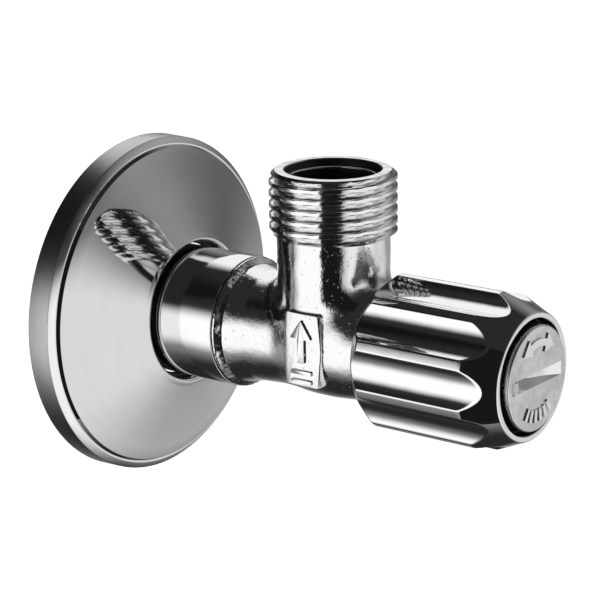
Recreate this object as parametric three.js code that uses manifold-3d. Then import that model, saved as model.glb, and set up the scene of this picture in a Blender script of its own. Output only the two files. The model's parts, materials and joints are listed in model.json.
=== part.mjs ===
// Filter-type angle stop valve with a G 1/2 outlet, a wall rosette and a fluted handle.
//
// Frame: millimetres. X runs along the inlet, from the wall (x = 0) to the handle.
// Z is up, along the outlet. Y is across the valve. The valve is modelled closed.
//
// Water enters at -X, passes the seat and the washer, goes in through the spindle's front
// ports, through the filter basket, and out through the spindle's windows to the outlet.

import * as THREE from 'three';
import { mergeVertices } from 'three/addons/utils/BufferGeometryUtils.js';
import Module from 'manifold-3d';

const wasm = await Module();
wasm.setup();

// ---- Driving dimensions ---------------------------------------------------------------

const GAP = 0.3;                 // clearance kept between neighbouring pieces
const PAST = 1;                  // how far a cutting shape reaches past what it cuts

// G 1/2 pipe thread, used on the inlet and on the outlet
const PIPE_PITCH = 1.814;
const PIPE_CREST_R = 10.4775;
const PIPE_ROOT_R = 9.3;
const PIPE_BLANK_R = 10.58;      // turned blank that trims the thread's ends

// Valve body
const INLET_END_X = -14;
const INLET_SIDES = 16;          // facets round the inlet thread
const INLET_CHAMFER = 0.8;
const INLET_THREAD_CHAMFER = 2;
const INLET_BORE_R = 6.5;
const SEAL_GROOVE_WIDTH = 2.2;   // between the inlet thread and the plain nipple
const SEAL_CENTRE = 1.1;
const NIPPLE_R = 10.4;           // plain length that the cover sleeve slides on
const NIPPLE_X = 6.6;
const COLLAR_X = 24.2;
const COLLAR_R = 11.0;
const SHOULDER_X = 25.4;         // the collar's front edge is bevelled down to here
const SHOULDER_R = 10.0;
const BARREL_X = 28.4;
const BARREL_R = 9.35;
const NECK_X = 33;
const NECK_R = 9.03;
const NECK_END_X = 57.4;
const SEAT_X = 17;               // the face that the seat washer closes on
const SEAT_BORE_R = 4.5;
const SEAT_LIP_R = 5.5;
const SEAT_LIP_HEIGHT = 1;
const SEAT_WALL = 2;
const CHAMBER_R = 7.6;
const SPINDLE_BORE_R = 6.6;
const SPINDLE_BORE_X = 30;

// Pad on each side of the tee, and the flow arrow on the front pad
const PAD_OFFSET_X = 0.8;        // from the outlet's axis
const PAD_FACE_Y = 10.1;
const PAD_DEPTH = 3;
const PAD_END_HALF_WIDTH = 3.2;
const PAD_HALF_WIDTH = 3.8;
const PAD_BOTTOM_Z = -5.7;
const PAD_MIDDLE_Z = 0.5;
const PAD_TOP_Z = 6.7;
const ARROW_RAISED = 0.25;
const ARROW_SUNK = 0.75;
const ARROW_BOTTOM_Z = -3.3;
const ARROW_HEAD_Z = 1.9;
const ARROW_TIP_Z = 4.7;
const ARROW_HALF_WIDTH = 0.5;
const ARROW_HEAD_HALF_WIDTH = 1.7;

// Outlet
const OUTLET_X = 41.26;
const OUTLET_R = 9.26;
const OUTLET_TOP_Z = 28.5;
const OUTLET_FACE_R = 9.5;
const OUTLET_CHAMFER = 1.1;
const THREAD_START_Z = 17.7;
const MOUTH_R = 7.92;
const MOUTH_Z = 23.2;
const MOUTH_CONE = 1.2;          // height of the cone that a compression ring sits in
const OUTLET_BORE_R = 6.6;
const PORT_R = 4.5;
const PORT_TOP_Z = 11;

// Wall rosette, its grip ring and the cover sleeve. Profile points are [x, radius].
const ROSETTE_R = 29.2;
const ROSETTE_LIP_X = 12.2;
const ROSETTE_HOLE_R = 11.9;
const ROSETTE_RIM = [4.1, 29.1];
const ROSETTE_BEVEL = [4.85, 28];
const ROSETTE_STEP = [5.4, 27.4];
const ROSETTE_FACE = [8.95, 18.6];
const ROSETTE_LIP = [12.1, 13.1];
const ROSETTE_LIP_CREST = [12.2, 12.5];
const ROSETTE_INNER_FACE = [8.05, 18.4];
const ROSETTE_INNER_STEP = [4.55, 27.1];
const ROSETTE_INNER_RIM = [3.5, 28.2];
const ROSETTE_RIM_BORE_R = 28.3;
const ROSETTE_LIP_ROLL = 0.3;
const ROSETTE_LIP_DEPTH = 1.5;
const ROSETTE_SIDES = 48;
const GRIP_START_X = 8.2;
const GRIP_END_X = 9.9;
const GRIP_OUTER_R = 13.4;
const GRIP_INNER_R = 11.5;
const GRIP_LIP_R = 11.4;
const GRIP_LIP_WIDTH = 0.5;
const SLEEVE_R = 11.1;
const SLEEVE_BORE_R = 10.75;
const SLEEVE_START_X = 1;
const SLEEVE_END_X = 23.9;
const SLEEVE_SIDES = 40;

// Seat washer, its carrier, screw and clip
const CARRIER_START_X = 17.9;
const CARRIER_FLOOR_X = 19.6;
const CARRIER_CUP_END_X = 21;
const CARRIER_END_X = 26.2;
const CARRIER_R = 6.3;
const CARRIER_CUP_R = 5.8;
const CARRIER_STEM_R = 1.8;
const CLIP_GROOVE = [24.2, 25, 1.3];
const WASHER_END_X = 19.3;
const WASHER_R = 5.5;
const WASHER_HOLE_R = 1.4;
const SCREW_HEAD = [15.6, 16.9, 2.5];
const SCREW_R = 1;
const SCREW_END_X = 22;
const SCREW_HOLE_R = 1.3;
const SCREW_HOLE_END_X = 23;
const SCREW_SLOT_WIDTH = 0.7;
const SCREW_SLOT_DEPTH = 0.8;
const CARRIER_CLIP = [24.35, 24.85, 1.6, 2.9];
const CARRIER_CLIP_GAP = 1.6;

// Spindle. A groove is [start, end, radius at its floor].
const SPINDLE_R = 5.8;           // part of the spindle inside the chamber
const STEM_R = 5.6;              // part of the spindle inside the bonnet
const NOSE_BORE_R = 2.1;
const NOSE_BORE_END_X = 26.5;
const NOSE_GROOVE = [24.05, 25.15, 3.2];
const FILTER_BORE_R = 4.3;
const FILTER_BORE_X = 26.4;
const SPINDLE_START_X = 21.3;
const SPINDLE_END_X = 72;
const PORT_START_X = 27;
const PORT_END_X = 29.6;
const PORT_WIDTH = 2.6;
const WINDOW_START_X = 34.5;
const WINDOW_END_X = 42.5;
const WINDOW_WIDTH = 4;
const SEPARATOR_GROOVE = [30.7, 32.8, 4.95];
const STOP_GROOVE = [43, 44.2, 5.1];
const HANDLE_CLIP_GROOVE = [69.4, 70.6, 4.8];
const LIFT_PITCH = 1.25;         // the spindle rises this much in a turn
const LIFT_THREAD = [49, 54.8];
const LIFT_CREST_R = 6;
const LIFT_ROOT_R = 5.5;
const THREAD_SIDES = 12;         // facets round the two small threads
const DRIVE_START_X = 65.2;
const DRIVE_CORNER_R = 5.6;
const DRIVE_CLEARANCE = 0.35;
const STOP_RING = [43.3, 44, 5.4, 6.2];
const HANDLE_CLIP = [69.65, 70.35, 5.1, 6.6];
const SNAP_RING_GAP = 3;

// Bonnet
const BONNET_BORE_R = 6.3;
const BONNET_THREAD_R = 7.5;
const BONNET_START_X = 47.9;
const BONNET_END_X = 64;
const BONNET_TOP_R = 8.2;
const HEX_START_X = 58.6;
const HEX_END_X = 61.4;
const HEX_CORNER_R = 9.2;
const BONNET_GROOVES = [[58.7, 60.3], [61.2, 62.8]];
const BONNET_GROOVE_R = 7.4;
const GASKET_END_X = 58.3;

// O-rings: [centre, inner radius, outer radius]
const SEPARATOR_O_RING = [31.75, 5.25, 6.35];
const BONNET_INNER_O_RING = [59.5, 5.9, 7.1];
const BONNET_OUTER_O_RING = [62, 5.9, 7.1];
const PLUG_O_RING = [63.75, 3.4, 4.1];
const BASKET_O_RING = [31.6, 3.5, 4.05];

// Handle
const FLUTES = 10;
const RIDGE_R = 12.9;
const RIDGE_HALF_WIDTH = 0.82;
const FLUTE_BOTTOM_R = 11.4;
const HANDLE_BACK_X = 52.5;
const HANDLE_BACK_R = 11.3;
const HANDLE_CHAMFER_X = 54.3;
const HANDLE_CONE_X = 73.4;
const HANDLE_FRONT_X = 79.3;
const HANDLE_FRONT_R = 10.3;
const HANDLE_CAVITY_R = 9.75;
const WEB_START_X = 65.5;
const WEB_END_X = 69;
const RECESS_R = 8.9;
const BEZEL_R = 9.4;
const BEZEL_DEPTH = 2.2;

// Filter plug
const PLUG_R = 8.5;
const PLUG_FACE_X = 80.4;
const PLUG_HEAD = 3.5;
const PLUG_CHAMFER = 0.3;
const PLUG_BOSS_R = 6.4;
const PLUG_STEM_R = 4.0;
const PLUG_CORE_R = 3.6;
const PLUG_GROOVE = [62.9, 64.6, 3.1];
const PLUG_THREAD = [65.6, 71.8];
const PLUG_THREAD_ROOT_R = 3.5;
const PLUG_THREAD_PITCH = 1;
const SLOT_WIDTH = 2.2;
const SLOT_HALF_LENGTH = 7.3;
const SLOT_DEPTH = 1.5;

// Filter basket and its mesh
const BASKET_R = 3.95;
const BASKET_BORE_R = 2.9;
const BASKET_START_X = 30.4;
const BASKET_NOSE_END_X = 33.5;
const BASKET_GROOVE = [31, 32.2, 3.2];
const BASKET_DISC_X = 60;
const BASKET_END_X = 61.5;
const RIBS = 6;
const RIB_WIDTH = 0.8;
const RIB_HEIGHT = 0.25;
const RIB_MIDDLE_R = 3.755;
const RIB_OVERLAP = 0.3;
const MESH_START_X = 33.8;
const MESH_END_X = 59.7;
const MESH_R = 3.3;
const MESH_BORE_R = 3.0;

// ---- Helpers --------------------------------------------------------------------------

// Welds a closed three.js geometry and hands it to the boolean library.
function solid(geometry) {
  geometry.deleteAttribute('normal');
  geometry.deleteAttribute('uv');
  const welded = mergeVertices(geometry, 1e-4);
  const index = welded.index.array;
  const faces = [];
  for (let i = 0; i < index.length; i += 3) {
    const [a, b, c] = [index[i], index[i + 1], index[i + 2]];
    if (a !== b && b !== c && c !== a) {
      faces.push(a, b, c);
    }
  }
  return new wasm.Manifold(new wasm.Mesh({
    numProp: 3,
    vertProperties: new Float32Array(welded.attributes.position.array),
    triVerts: new Uint32Array(faces),
  }));
}

// Turns a solid from the boolean library back into a three.js geometry.
function geometryOf(body) {
  const mesh = body.getMesh();
  const geometry = new THREE.BufferGeometry();
  geometry.setAttribute('position', new THREE.BufferAttribute(mesh.vertProperties, 3));
  geometry.setIndex(new THREE.BufferAttribute(mesh.triVerts, 1));
  geometry.computeVertexNormals();
  return geometry;
}

// Lathe about the Z axis. The outline is a list of [z, radius] that either starts and
// ends on the axis or closes on itself, and runs up the outside and down the inside.
function lathe(outline, sides) {
  const points = outline.map(([z, radius]) => new THREE.Vector2(radius, z));
  if (points[0].x > 0) {
    points.push(points[0].clone());
  }
  return new THREE.LatheGeometry(points, sides).rotateX(Math.PI / 2);
}

// A turned piece about the X axis. The outline is a list of [x, radius].
function turned(outline, sides = 24) {
  return solid(lathe(outline, sides).rotateY(Math.PI / 2));
}

// A turned piece that stands on the outlet's axis. The outline is a list of [z, radius].
function upright(outline, sides = 24) {
  return solid(lathe(outline, sides).translate(OUTLET_X, 0, 0));
}

// A plain rod or bore along X.
function rod(start, end, radius, sides = 24) {
  return turned([[start, 0], [start, radius], [end, radius], [end, 0]], sides);
}

// A ring along X with square edges.
function ring(start, end, innerR, outerR, sides = 24) {
  return turned([[start, outerR], [end, outerR], [end, innerR], [start, innerR]], sides);
}

// An O-ring about the X axis, with its six-sided section centred on x.
function oRing([x, innerR, outerR]) {
  const sectionR = (outerR - innerR) / 2;
  const corners = 6;
  const outline = [];
  for (let i = 0; i < corners; i += 1) {
    const angle = Math.PI * (1 - 2 * i / corners);
    outline.push([x + sectionR * Math.cos(angle), innerR + sectionR * (1 + Math.sin(angle))]);
  }
  return turned(outline, 20);
}

// A ring that is open at the bottom, so that it can snap into its groove.
function snapRing([start, end, innerR, outerR], gap, sides = 24) {
  const length = end - start + 2 * PAST;
  const gapBlock = box([(start + end) / 2, 0, -outerR], [length, gap, 2 * outerR]);
  return ring(start, end, innerR, outerR, sides).subtract(gapBlock);
}

// Helical ridge of a screw thread about the Z axis.
class Helix extends THREE.Curve {
  constructor(radius, pitch, turns) {
    super();
    this.radius = radius;
    this.pitch = pitch;
    this.turns = turns;
  }

  angle(t) {
    return 2 * Math.PI * this.turns * t;
  }

  getPoint(t, target = new THREE.Vector3()) {
    const angle = this.angle(t);
    return target.set(
      this.radius * Math.cos(angle),
      this.radius * Math.sin(angle),
      this.pitch * this.turns * t,
    );
  }

  // Keeps the ridge's section in a plane through the axis.
  computeFrenetFrames(steps) {
    const frames = { tangents: [], normals: [], binormals: [] };
    for (let i = 0; i <= steps; i += 1) {
      const angle = this.angle(i / steps);
      frames.tangents.push(new THREE.Vector3(-Math.sin(angle), Math.cos(angle), 0));
      frames.normals.push(new THREE.Vector3(Math.cos(angle), Math.sin(angle), 0));
      frames.binormals.push(new THREE.Vector3(0, 0, -1));
    }
    return frames;
  }
}

function threadRidge(rootR, crestR, pitch, length, sides) {
  const turns = Math.floor(length / pitch * sides) / sides;
  const foot = 0.49 * pitch;       // half widths of the ridge
  const crest = 0.1 * pitch;
  const sunk = 0.3;                // how far the ridge reaches into its core
  const section = new THREE.Shape([
    new THREE.Vector2(-sunk, -foot),
    new THREE.Vector2(crestR - rootR, -crest),
    new THREE.Vector2(crestR - rootR, crest),
    new THREE.Vector2(-sunk, foot),
  ]);
  return new THREE.ExtrudeGeometry(section, {
    steps: Math.round(turns * sides),
    extrudePath: new Helix(rootR, pitch, turns),
    bevelEnabled: false,
  });
}

// External thread along X from start to end, to be joined to its core.
function threadAlongX(start, end, rootR, crestR, pitch, sides) {
  const length = end - start - pitch;
  const ridge = threadRidge(rootR, crestR, pitch, length, sides);
  ridge.translate(0, 0, start + pitch / 2).rotateY(Math.PI / 2);
  return solid(ridge);
}

// Hexagonal prism along X.
function hexagon(start, end, cornerR) {
  return rod(start, end, cornerR, 6);
}

function box(centre, size) {
  return solid(new THREE.BoxGeometry(...size).translate(...centre));
}

// Straight radial holes or slots through a tube along X, on both Y and Z.
function radialSlots(start, end, width) {
  const length = end - start;
  const reach = 4 * BASKET_R;
  const middle = (start + end) / 2;
  return box([middle, 0, 0], [length, width, reach]).add(box([middle, 0, 0], [length, reach, width]));
}

// ---- Materials ------------------------------------------------------------------------

function material(color, roughness, metalness) {
  return () => new THREE.MeshStandardMaterial({ color, roughness, metalness });
}

const chrome = material(0xd9dadb, 0.08, 1);
const satinChrome = material(0xbdb9b5, 0.3, 1);
const castChrome = material(0xd0d1d2, 0.14, 1);
const brass = material(0xb5924c, 0.35, 1);
const steel = material(0x9a9c9e, 0.35, 1);
const rubber = material(0x161616, 0.7, 0);
const fibre = material(0x6b3f2a, 0.8, 0);
const nylon = material(0xe6e2d6, 0.5, 0);

// ---- Valve body -----------------------------------------------------------------------

function castTee() {
  const inletCore = turned([
    [INLET_END_X, 0],
    [INLET_END_X, PIPE_ROOT_R - INLET_CHAMFER],
    [INLET_END_X + INLET_CHAMFER, PIPE_ROOT_R],
    [NIPPLE_X + PAST, PIPE_ROOT_R],
    [NIPPLE_X + PAST, 0],
  ], INLET_SIDES);
  const barrel = turned([
    [NIPPLE_X, 0],
    [NIPPLE_X, NIPPLE_R],
    [COLLAR_X, NIPPLE_R],
    [COLLAR_X, COLLAR_R],
    [SHOULDER_X, SHOULDER_R],
    [BARREL_X, BARREL_R],
    [NECK_X, NECK_R],
    [NECK_END_X, NECK_R],
    [NECK_END_X, 0],
  ]);
  const column = upright([
    [0, 0],
    [0, OUTLET_R],
    [THREAD_START_Z, OUTLET_R],
    [THREAD_START_Z, PIPE_ROOT_R],
    [OUTLET_TOP_Z, PIPE_ROOT_R],
    [OUTLET_TOP_Z, 0],
  ]);
  return inletCore.add(barrel).add(column);
}

// A plate that faces Y beside the tee. The outline's points are [x, z] from the pad's axis.
function plateAt(outline, side, faceY, depth) {
  const shape = new THREE.Shape(outline.map(([x, z]) => new THREE.Vector2(x, z)));
  const plate = new THREE.ExtrudeGeometry(shape, { depth, bevelEnabled: false });
  plate.rotateX(Math.PI / 2);
  plate.translate(OUTLET_X + PAD_OFFSET_X, side > 0 ? faceY : depth - faceY, 0);
  return solid(plate);
}

// Raised pad on each side of the tee, where a foundry casts its marks.
function sidePad(side) {
  return plateAt([
    [-PAD_END_HALF_WIDTH, PAD_BOTTOM_Z],
    [PAD_END_HALF_WIDTH, PAD_BOTTOM_Z],
    [PAD_HALF_WIDTH, PAD_MIDDLE_Z],
    [PAD_END_HALF_WIDTH, PAD_TOP_Z],
    [-PAD_END_HALF_WIDTH, PAD_TOP_Z],
    [-PAD_HALF_WIDTH, PAD_MIDDLE_Z],
  ], side, PAD_FACE_Y, PAD_DEPTH);
}

// Flow arrow cast on the front pad, pointing up to the outlet.
function flowArrow() {
  return plateAt([
    [-ARROW_HALF_WIDTH, ARROW_BOTTOM_Z],
    [ARROW_HALF_WIDTH, ARROW_BOTTOM_Z],
    [ARROW_HALF_WIDTH, ARROW_HEAD_Z],
    [ARROW_HEAD_HALF_WIDTH, ARROW_HEAD_Z],
    [0, ARROW_TIP_Z],
    [-ARROW_HEAD_HALF_WIDTH, ARROW_HEAD_Z],
    [-ARROW_HALF_WIDTH, ARROW_HEAD_Z],
  ], -1, PAD_FACE_Y + ARROW_RAISED, ARROW_RAISED + ARROW_SUNK);
}

function pipeThreads() {
  const inletEnd = NIPPLE_X - SEAL_GROOVE_WIDTH;
  const inletBlank = turned([
    [INLET_END_X, 0],
    [INLET_END_X, PIPE_ROOT_R - INLET_CHAMFER],
    [INLET_END_X + INLET_THREAD_CHAMFER, PIPE_BLANK_R],
    [NIPPLE_X, PIPE_BLANK_R],
    [NIPPLE_X, 0],
  ], INLET_SIDES);
  const inlet = threadAlongX(INLET_END_X, inletEnd, PIPE_ROOT_R, PIPE_CREST_R, PIPE_PITCH, INLET_SIDES)
    .intersect(inletBlank);
  const outletLength = OUTLET_TOP_Z - THREAD_START_Z - PIPE_PITCH / 2;
  const outletRidge = threadRidge(PIPE_ROOT_R, PIPE_CREST_R, PIPE_PITCH, outletLength, 24);
  outletRidge.translate(OUTLET_X, 0, THREAD_START_Z + PIPE_PITCH / 2);
  const outlet = solid(outletRidge).intersect(upright([
    [THREAD_START_Z, 0],
    [THREAD_START_Z, PIPE_BLANK_R],
    [OUTLET_TOP_Z - OUTLET_CHAMFER, PIPE_BLANK_R],
    [OUTLET_TOP_Z, OUTLET_FACE_R],
    [OUTLET_TOP_Z, 0],
  ]));
  return inlet.add(outlet);
}

function bodyBores() {
  const waterway = turned([
    [INLET_END_X - PAST, 0],
    [INLET_END_X - PAST, INLET_BORE_R],
    [SEAT_X - SEAT_WALL, INLET_BORE_R],
    [SEAT_X - SEAT_WALL, SEAT_BORE_R],
    [SEAT_X, SEAT_BORE_R],
    [SEAT_X, SEAT_LIP_R],
    [SEAT_X - SEAT_LIP_HEIGHT, SEAT_LIP_R],
    [SEAT_X - SEAT_LIP_HEIGHT, CHAMBER_R],
    [SPINDLE_BORE_X, CHAMBER_R],
    [SPINDLE_BORE_X, SPINDLE_BORE_R],
    [BONNET_START_X - GAP, SPINDLE_BORE_R],
    [BONNET_START_X - GAP, BONNET_THREAD_R + GAP],
    [NECK_END_X + PAST, BONNET_THREAD_R + GAP],
    [NECK_END_X + PAST, 0],
  ]);
  const outlet = upright([
    [0, 0],
    [0, PORT_R],
    [PORT_TOP_Z, PORT_R],
    [PORT_TOP_Z, OUTLET_BORE_R],
    [MOUTH_Z - MOUTH_CONE, OUTLET_BORE_R],
    [MOUTH_Z, MOUTH_R],
    [OUTLET_TOP_Z + PAST, MOUTH_R],
    [OUTLET_TOP_Z + PAST, 0],
  ]);
  const sealGroove = ring(NIPPLE_X - SEAL_GROOVE_WIDTH, NIPPLE_X, PIPE_ROOT_R, NIPPLE_R + PAST);
  return waterway.add(outlet).add(sealGroove);
}

function valveBody() {
  return castTee()
    .add(pipeThreads())
    .add(sidePad(-1))
    .add(sidePad(1))
    .add(flowArrow())
    .subtract(bodyBores());
}

// ---- Wall rosette, grip ring and cover sleeve -----------------------------------------

// Pressed sheet: a brushed rim, a bright bevel, a fine step and a shallow cone that
// rises to a rolled lip around the sleeve.
function rosette() {
  return turned([
    [0, ROSETTE_R],
    ROSETTE_RIM,
    ROSETTE_BEVEL,
    ROSETTE_STEP,
    ROSETTE_FACE,
    ROSETTE_LIP,
    ROSETTE_LIP_CREST,
    [ROSETTE_LIP_X - ROSETTE_LIP_ROLL, ROSETTE_HOLE_R],
    [ROSETTE_LIP_X - ROSETTE_LIP_DEPTH, ROSETTE_HOLE_R],
    ROSETTE_INNER_FACE,
    ROSETTE_INNER_STEP,
    ROSETTE_INNER_RIM,
    [0, ROSETTE_RIM_BORE_R],
  ], ROSETTE_SIDES);
}

function gripRing() {
  return turned([
    [GRIP_START_X, GRIP_INNER_R],
    [GRIP_START_X, GRIP_OUTER_R],
    [GRIP_END_X, GRIP_OUTER_R],
    [GRIP_END_X, GRIP_INNER_R],
    [GRIP_END_X - GRIP_LIP_WIDTH, GRIP_LIP_R],
    [GRIP_START_X + GRIP_LIP_WIDTH, GRIP_LIP_R],
  ]);
}

function coverSleeve() {
  return ring(SLEEVE_START_X, SLEEVE_END_X, SLEEVE_BORE_R, SLEEVE_R, SLEEVE_SIDES);
}

// Sealing ring at the root of the inlet thread.
function inletSeal() {
  return oRing([NIPPLE_X - SEAL_CENTRE, PIPE_ROOT_R + GAP, NIPPLE_R]);
}

// ---- Seat washer and its carrier ------------------------------------------------------

function washerCarrier() {
  const [grooveStart, grooveEnd, grooveR] = CLIP_GROOVE;
  const blank = turned([
    [CARRIER_START_X, CARRIER_CUP_R],
    [CARRIER_START_X, CARRIER_R],
    [CARRIER_CUP_END_X, CARRIER_R],
    [CARRIER_CUP_END_X, CARRIER_STEM_R],
    [grooveStart, CARRIER_STEM_R],
    [grooveStart, grooveR],
    [grooveEnd, grooveR],
    [grooveEnd, CARRIER_STEM_R],
    [CARRIER_END_X, CARRIER_STEM_R],
    [CARRIER_END_X, 0],
    [CARRIER_FLOOR_X, 0],
    [CARRIER_FLOOR_X, CARRIER_CUP_R],
  ]);
  return blank.subtract(rod(CARRIER_START_X, SCREW_HOLE_END_X, SCREW_HOLE_R, 12));
}

function seatWasher() {
  return ring(SEAT_X + GAP, WASHER_END_X, WASHER_HOLE_R, WASHER_R);
}

function washerScrew() {
  const [headStart, headEnd, headR] = SCREW_HEAD;
  const screw = turned([
    [headStart, 0],
    [headStart, headR],
    [headEnd, headR],
    [headEnd, SCREW_R],
    [SCREW_END_X, SCREW_R],
    [SCREW_END_X, 0],
  ], 16);
  const slot = box([headStart, 0, 0], [2 * SCREW_SLOT_DEPTH, SCREW_SLOT_WIDTH, 2 * headR + PAST]);
  return screw.subtract(slot);
}

// Open ring that keeps the carrier's stem in the spindle's nose.
function carrierClip() {
  return snapRing(CARRIER_CLIP, CARRIER_CLIP_GAP, 20);
}

// ---- Headwork -------------------------------------------------------------------------

// Outline points of a square groove in a surface of radius outerR.
function grooveIn([start, end, floorR], outerR) {
  return [[start, outerR], [start, floorR], [end, floorR], [end, outerR]];
}

function spindle() {
  const [stopStart, stopEnd, stopR] = STOP_GROOVE;
  const blank = turned([
    [SPINDLE_START_X, 0],
    [SPINDLE_START_X, SPINDLE_R],
    ...grooveIn(SEPARATOR_GROOVE, SPINDLE_R),
    [stopStart, SPINDLE_R],
    [stopStart, stopR],
    [stopEnd, stopR],
    [stopEnd, STEM_R],
    ...grooveIn(HANDLE_CLIP_GROOVE, STEM_R),
    [SPINDLE_END_X, STEM_R],
    [SPINDLE_END_X, 0],
  ]);
  const thread = threadAlongX(...LIFT_THREAD, LIFT_ROOT_R, LIFT_CREST_R, LIFT_PITCH, THREAD_SIDES);
  const [noseStart, noseEnd, noseR] = NOSE_GROOVE;
  const bores = rod(SPINDLE_START_X - PAST, NOSE_BORE_END_X, NOSE_BORE_R)
    .add(ring(noseStart, noseEnd, NOSE_BORE_R - PAST, noseR))
    .add(rod(FILTER_BORE_X, SPINDLE_END_X + PAST, FILTER_BORE_R));
  const drive = ring(DRIVE_START_X, SPINDLE_END_X + PAST, NOSE_BORE_R, STEM_R + 2 * PAST).subtract(
    hexagon(DRIVE_START_X - PAST, SPINDLE_END_X + 2 * PAST, DRIVE_CORNER_R),
  );
  return blank
    .add(thread)
    .subtract(bores)
    .subtract(drive)
    .subtract(radialSlots(PORT_START_X, PORT_END_X, PORT_WIDTH))
    .subtract(radialSlots(WINDOW_START_X, WINDOW_END_X, WINDOW_WIDTH));
}

// Snap ring that meets the bonnet's inner end when the valve is fully open.
function stopRing() {
  return snapRing(STOP_RING, SNAP_RING_GAP);
}

function bonnet() {
  const rimR = HEX_CORNER_R + 0.2;
  const blank = turned([
    [BONNET_START_X, 0],
    [BONNET_START_X, BONNET_THREAD_R],
    [HEX_START_X, BONNET_THREAD_R],
    [HEX_START_X, rimR],
    [HEX_END_X, rimR],
    [HEX_END_X, BONNET_TOP_R],
    [BONNET_END_X, BONNET_TOP_R],
    [BONNET_END_X, 0],
  ]);
  const overlap = 0.1;
  const flats = ring(HEX_START_X - overlap, HEX_END_X + overlap, BONNET_BORE_R - PAST, rimR + PAST)
    .subtract(hexagon(HEX_START_X - PAST, HEX_END_X + PAST, HEX_CORNER_R));
  let bores = rod(BONNET_START_X - PAST, BONNET_END_X + PAST, BONNET_BORE_R);
  for (const [start, end] of BONNET_GROOVES) {
    bores = bores.add(ring(start, end, BONNET_BORE_R - PAST, BONNET_GROOVE_R));
  }
  return blank.subtract(flats).subtract(bores);
}

function bonnetGasket() {
  return ring(NECK_END_X + GAP, GASKET_END_X, BONNET_THREAD_R + GAP, NECK_R);
}

// ---- Handle ---------------------------------------------------------------------------

// Cross-section with a ridge at the top and a round flute between each two ridges.
function handleOutline() {
  const outline = new THREE.Shape();
  const step = 2 * Math.PI / FLUTES;
  const landAngle = Math.asin(RIDGE_HALF_WIDTH / RIDGE_R);
  const halfFlute = step / 2 - landAngle;
  const chordHalf = RIDGE_R * Math.sin(halfFlute);
  const sagitta = RIDGE_R * Math.cos(halfFlute) - FLUTE_BOTTOM_R;
  const fluteR = (chordHalf ** 2 + sagitta ** 2) / (2 * sagitta);
  const centreR = FLUTE_BOTTOM_R + fluteR;
  const sweep = Math.asin(chordHalf / fluteR);
  for (let i = 0; i < FLUTES; i += 1) {
    const flute = Math.PI / 2 + (i + 0.5) * step;
    outline.absarc(
      centreR * Math.cos(flute),
      centreR * Math.sin(flute),
      fluteR,
      flute + Math.PI + sweep,
      flute + Math.PI - sweep,
      true,
    );
  }
  return outline;
}

function handle() {
  const length = HANDLE_FRONT_X - HANDLE_BACK_X;
  const coneSlope = (RIDGE_R - HANDLE_FRONT_R) / (HANDLE_FRONT_X - HANDLE_CONE_X);
  const chamferSlope = (RIDGE_R - HANDLE_BACK_R) / (HANDLE_CHAMFER_X - HANDLE_BACK_X);
  const clearance = 0.6;
  const clearR = RIDGE_R + clearance;
  const prismatic = new THREE.ExtrudeGeometry(handleOutline(), {
    depth: length,
    curveSegments: 6,
    bevelEnabled: false,
  });
  // the outline's X and Y become the handle's Y and Z
  prismatic.rotateZ(Math.PI / 2).rotateY(Math.PI / 2).rotateX(Math.PI);
  prismatic.translate(HANDLE_BACK_X, 0, 0);
  const envelope = turned([
    [HANDLE_BACK_X, 0],
    [HANDLE_BACK_X, HANDLE_BACK_R],
    [HANDLE_CHAMFER_X + clearance / chamferSlope, clearR],
    [HANDLE_CONE_X - clearance / coneSlope, clearR],
    [HANDLE_FRONT_X, HANDLE_FRONT_R],
    [HANDLE_FRONT_X, 0],
  ], 40);
  const hollow = rod(HANDLE_BACK_X - PAST, WEB_START_X, HANDLE_CAVITY_R, 32);
  const recess = turned([
    [WEB_END_X, 0],
    [WEB_END_X, RECESS_R],
    [HANDLE_FRONT_X - BEZEL_DEPTH, RECESS_R],
    [HANDLE_FRONT_X - BEZEL_DEPTH, BEZEL_R],
    [HANDLE_FRONT_X + PAST, BEZEL_R],
    [HANDLE_FRONT_X + PAST, 0],
  ], 40);
  const driveHole = hexagon(WEB_START_X - PAST, WEB_END_X + PAST, DRIVE_CORNER_R + DRIVE_CLEARANCE);
  return solid(prismatic).intersect(envelope).subtract(hollow).subtract(recess).subtract(driveHole);
}

// Circlip that holds the handle on the spindle.
function handleClip() {
  return snapRing(HANDLE_CLIP, SNAP_RING_GAP);
}

// ---- Filter plug and basket -----------------------------------------------------------

function filterPlug() {
  const headX = PLUG_FACE_X - PLUG_HEAD;
  const bossX = SPINDLE_END_X + GAP;
  const [, grooveEnd] = PLUG_GROOVE;
  const blank = turned([
    [BASKET_END_X + GAP, 0],
    [BASKET_END_X + GAP, PLUG_STEM_R],
    ...grooveIn(PLUG_GROOVE, PLUG_STEM_R).slice(0, 3),
    [grooveEnd, PLUG_CORE_R],
    [bossX, PLUG_CORE_R],
    [bossX, PLUG_BOSS_R],
    [headX, PLUG_BOSS_R],
    [headX, PLUG_R],
    [PLUG_FACE_X - PLUG_CHAMFER, PLUG_R],
    [PLUG_FACE_X, PLUG_R - PLUG_CHAMFER],
    [PLUG_FACE_X, 0],
  ]);
  const thread = threadAlongX(
    ...PLUG_THREAD,
    PLUG_THREAD_ROOT_R,
    PLUG_STEM_R,
    PLUG_THREAD_PITCH,
    THREAD_SIDES,
  );
  const slot = box([PLUG_FACE_X, 0, 0], [2 * SLOT_DEPTH, 2 * SLOT_HALF_LENGTH, SLOT_WIDTH]);
  return blank.add(thread).subtract(slot);
}

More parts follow.
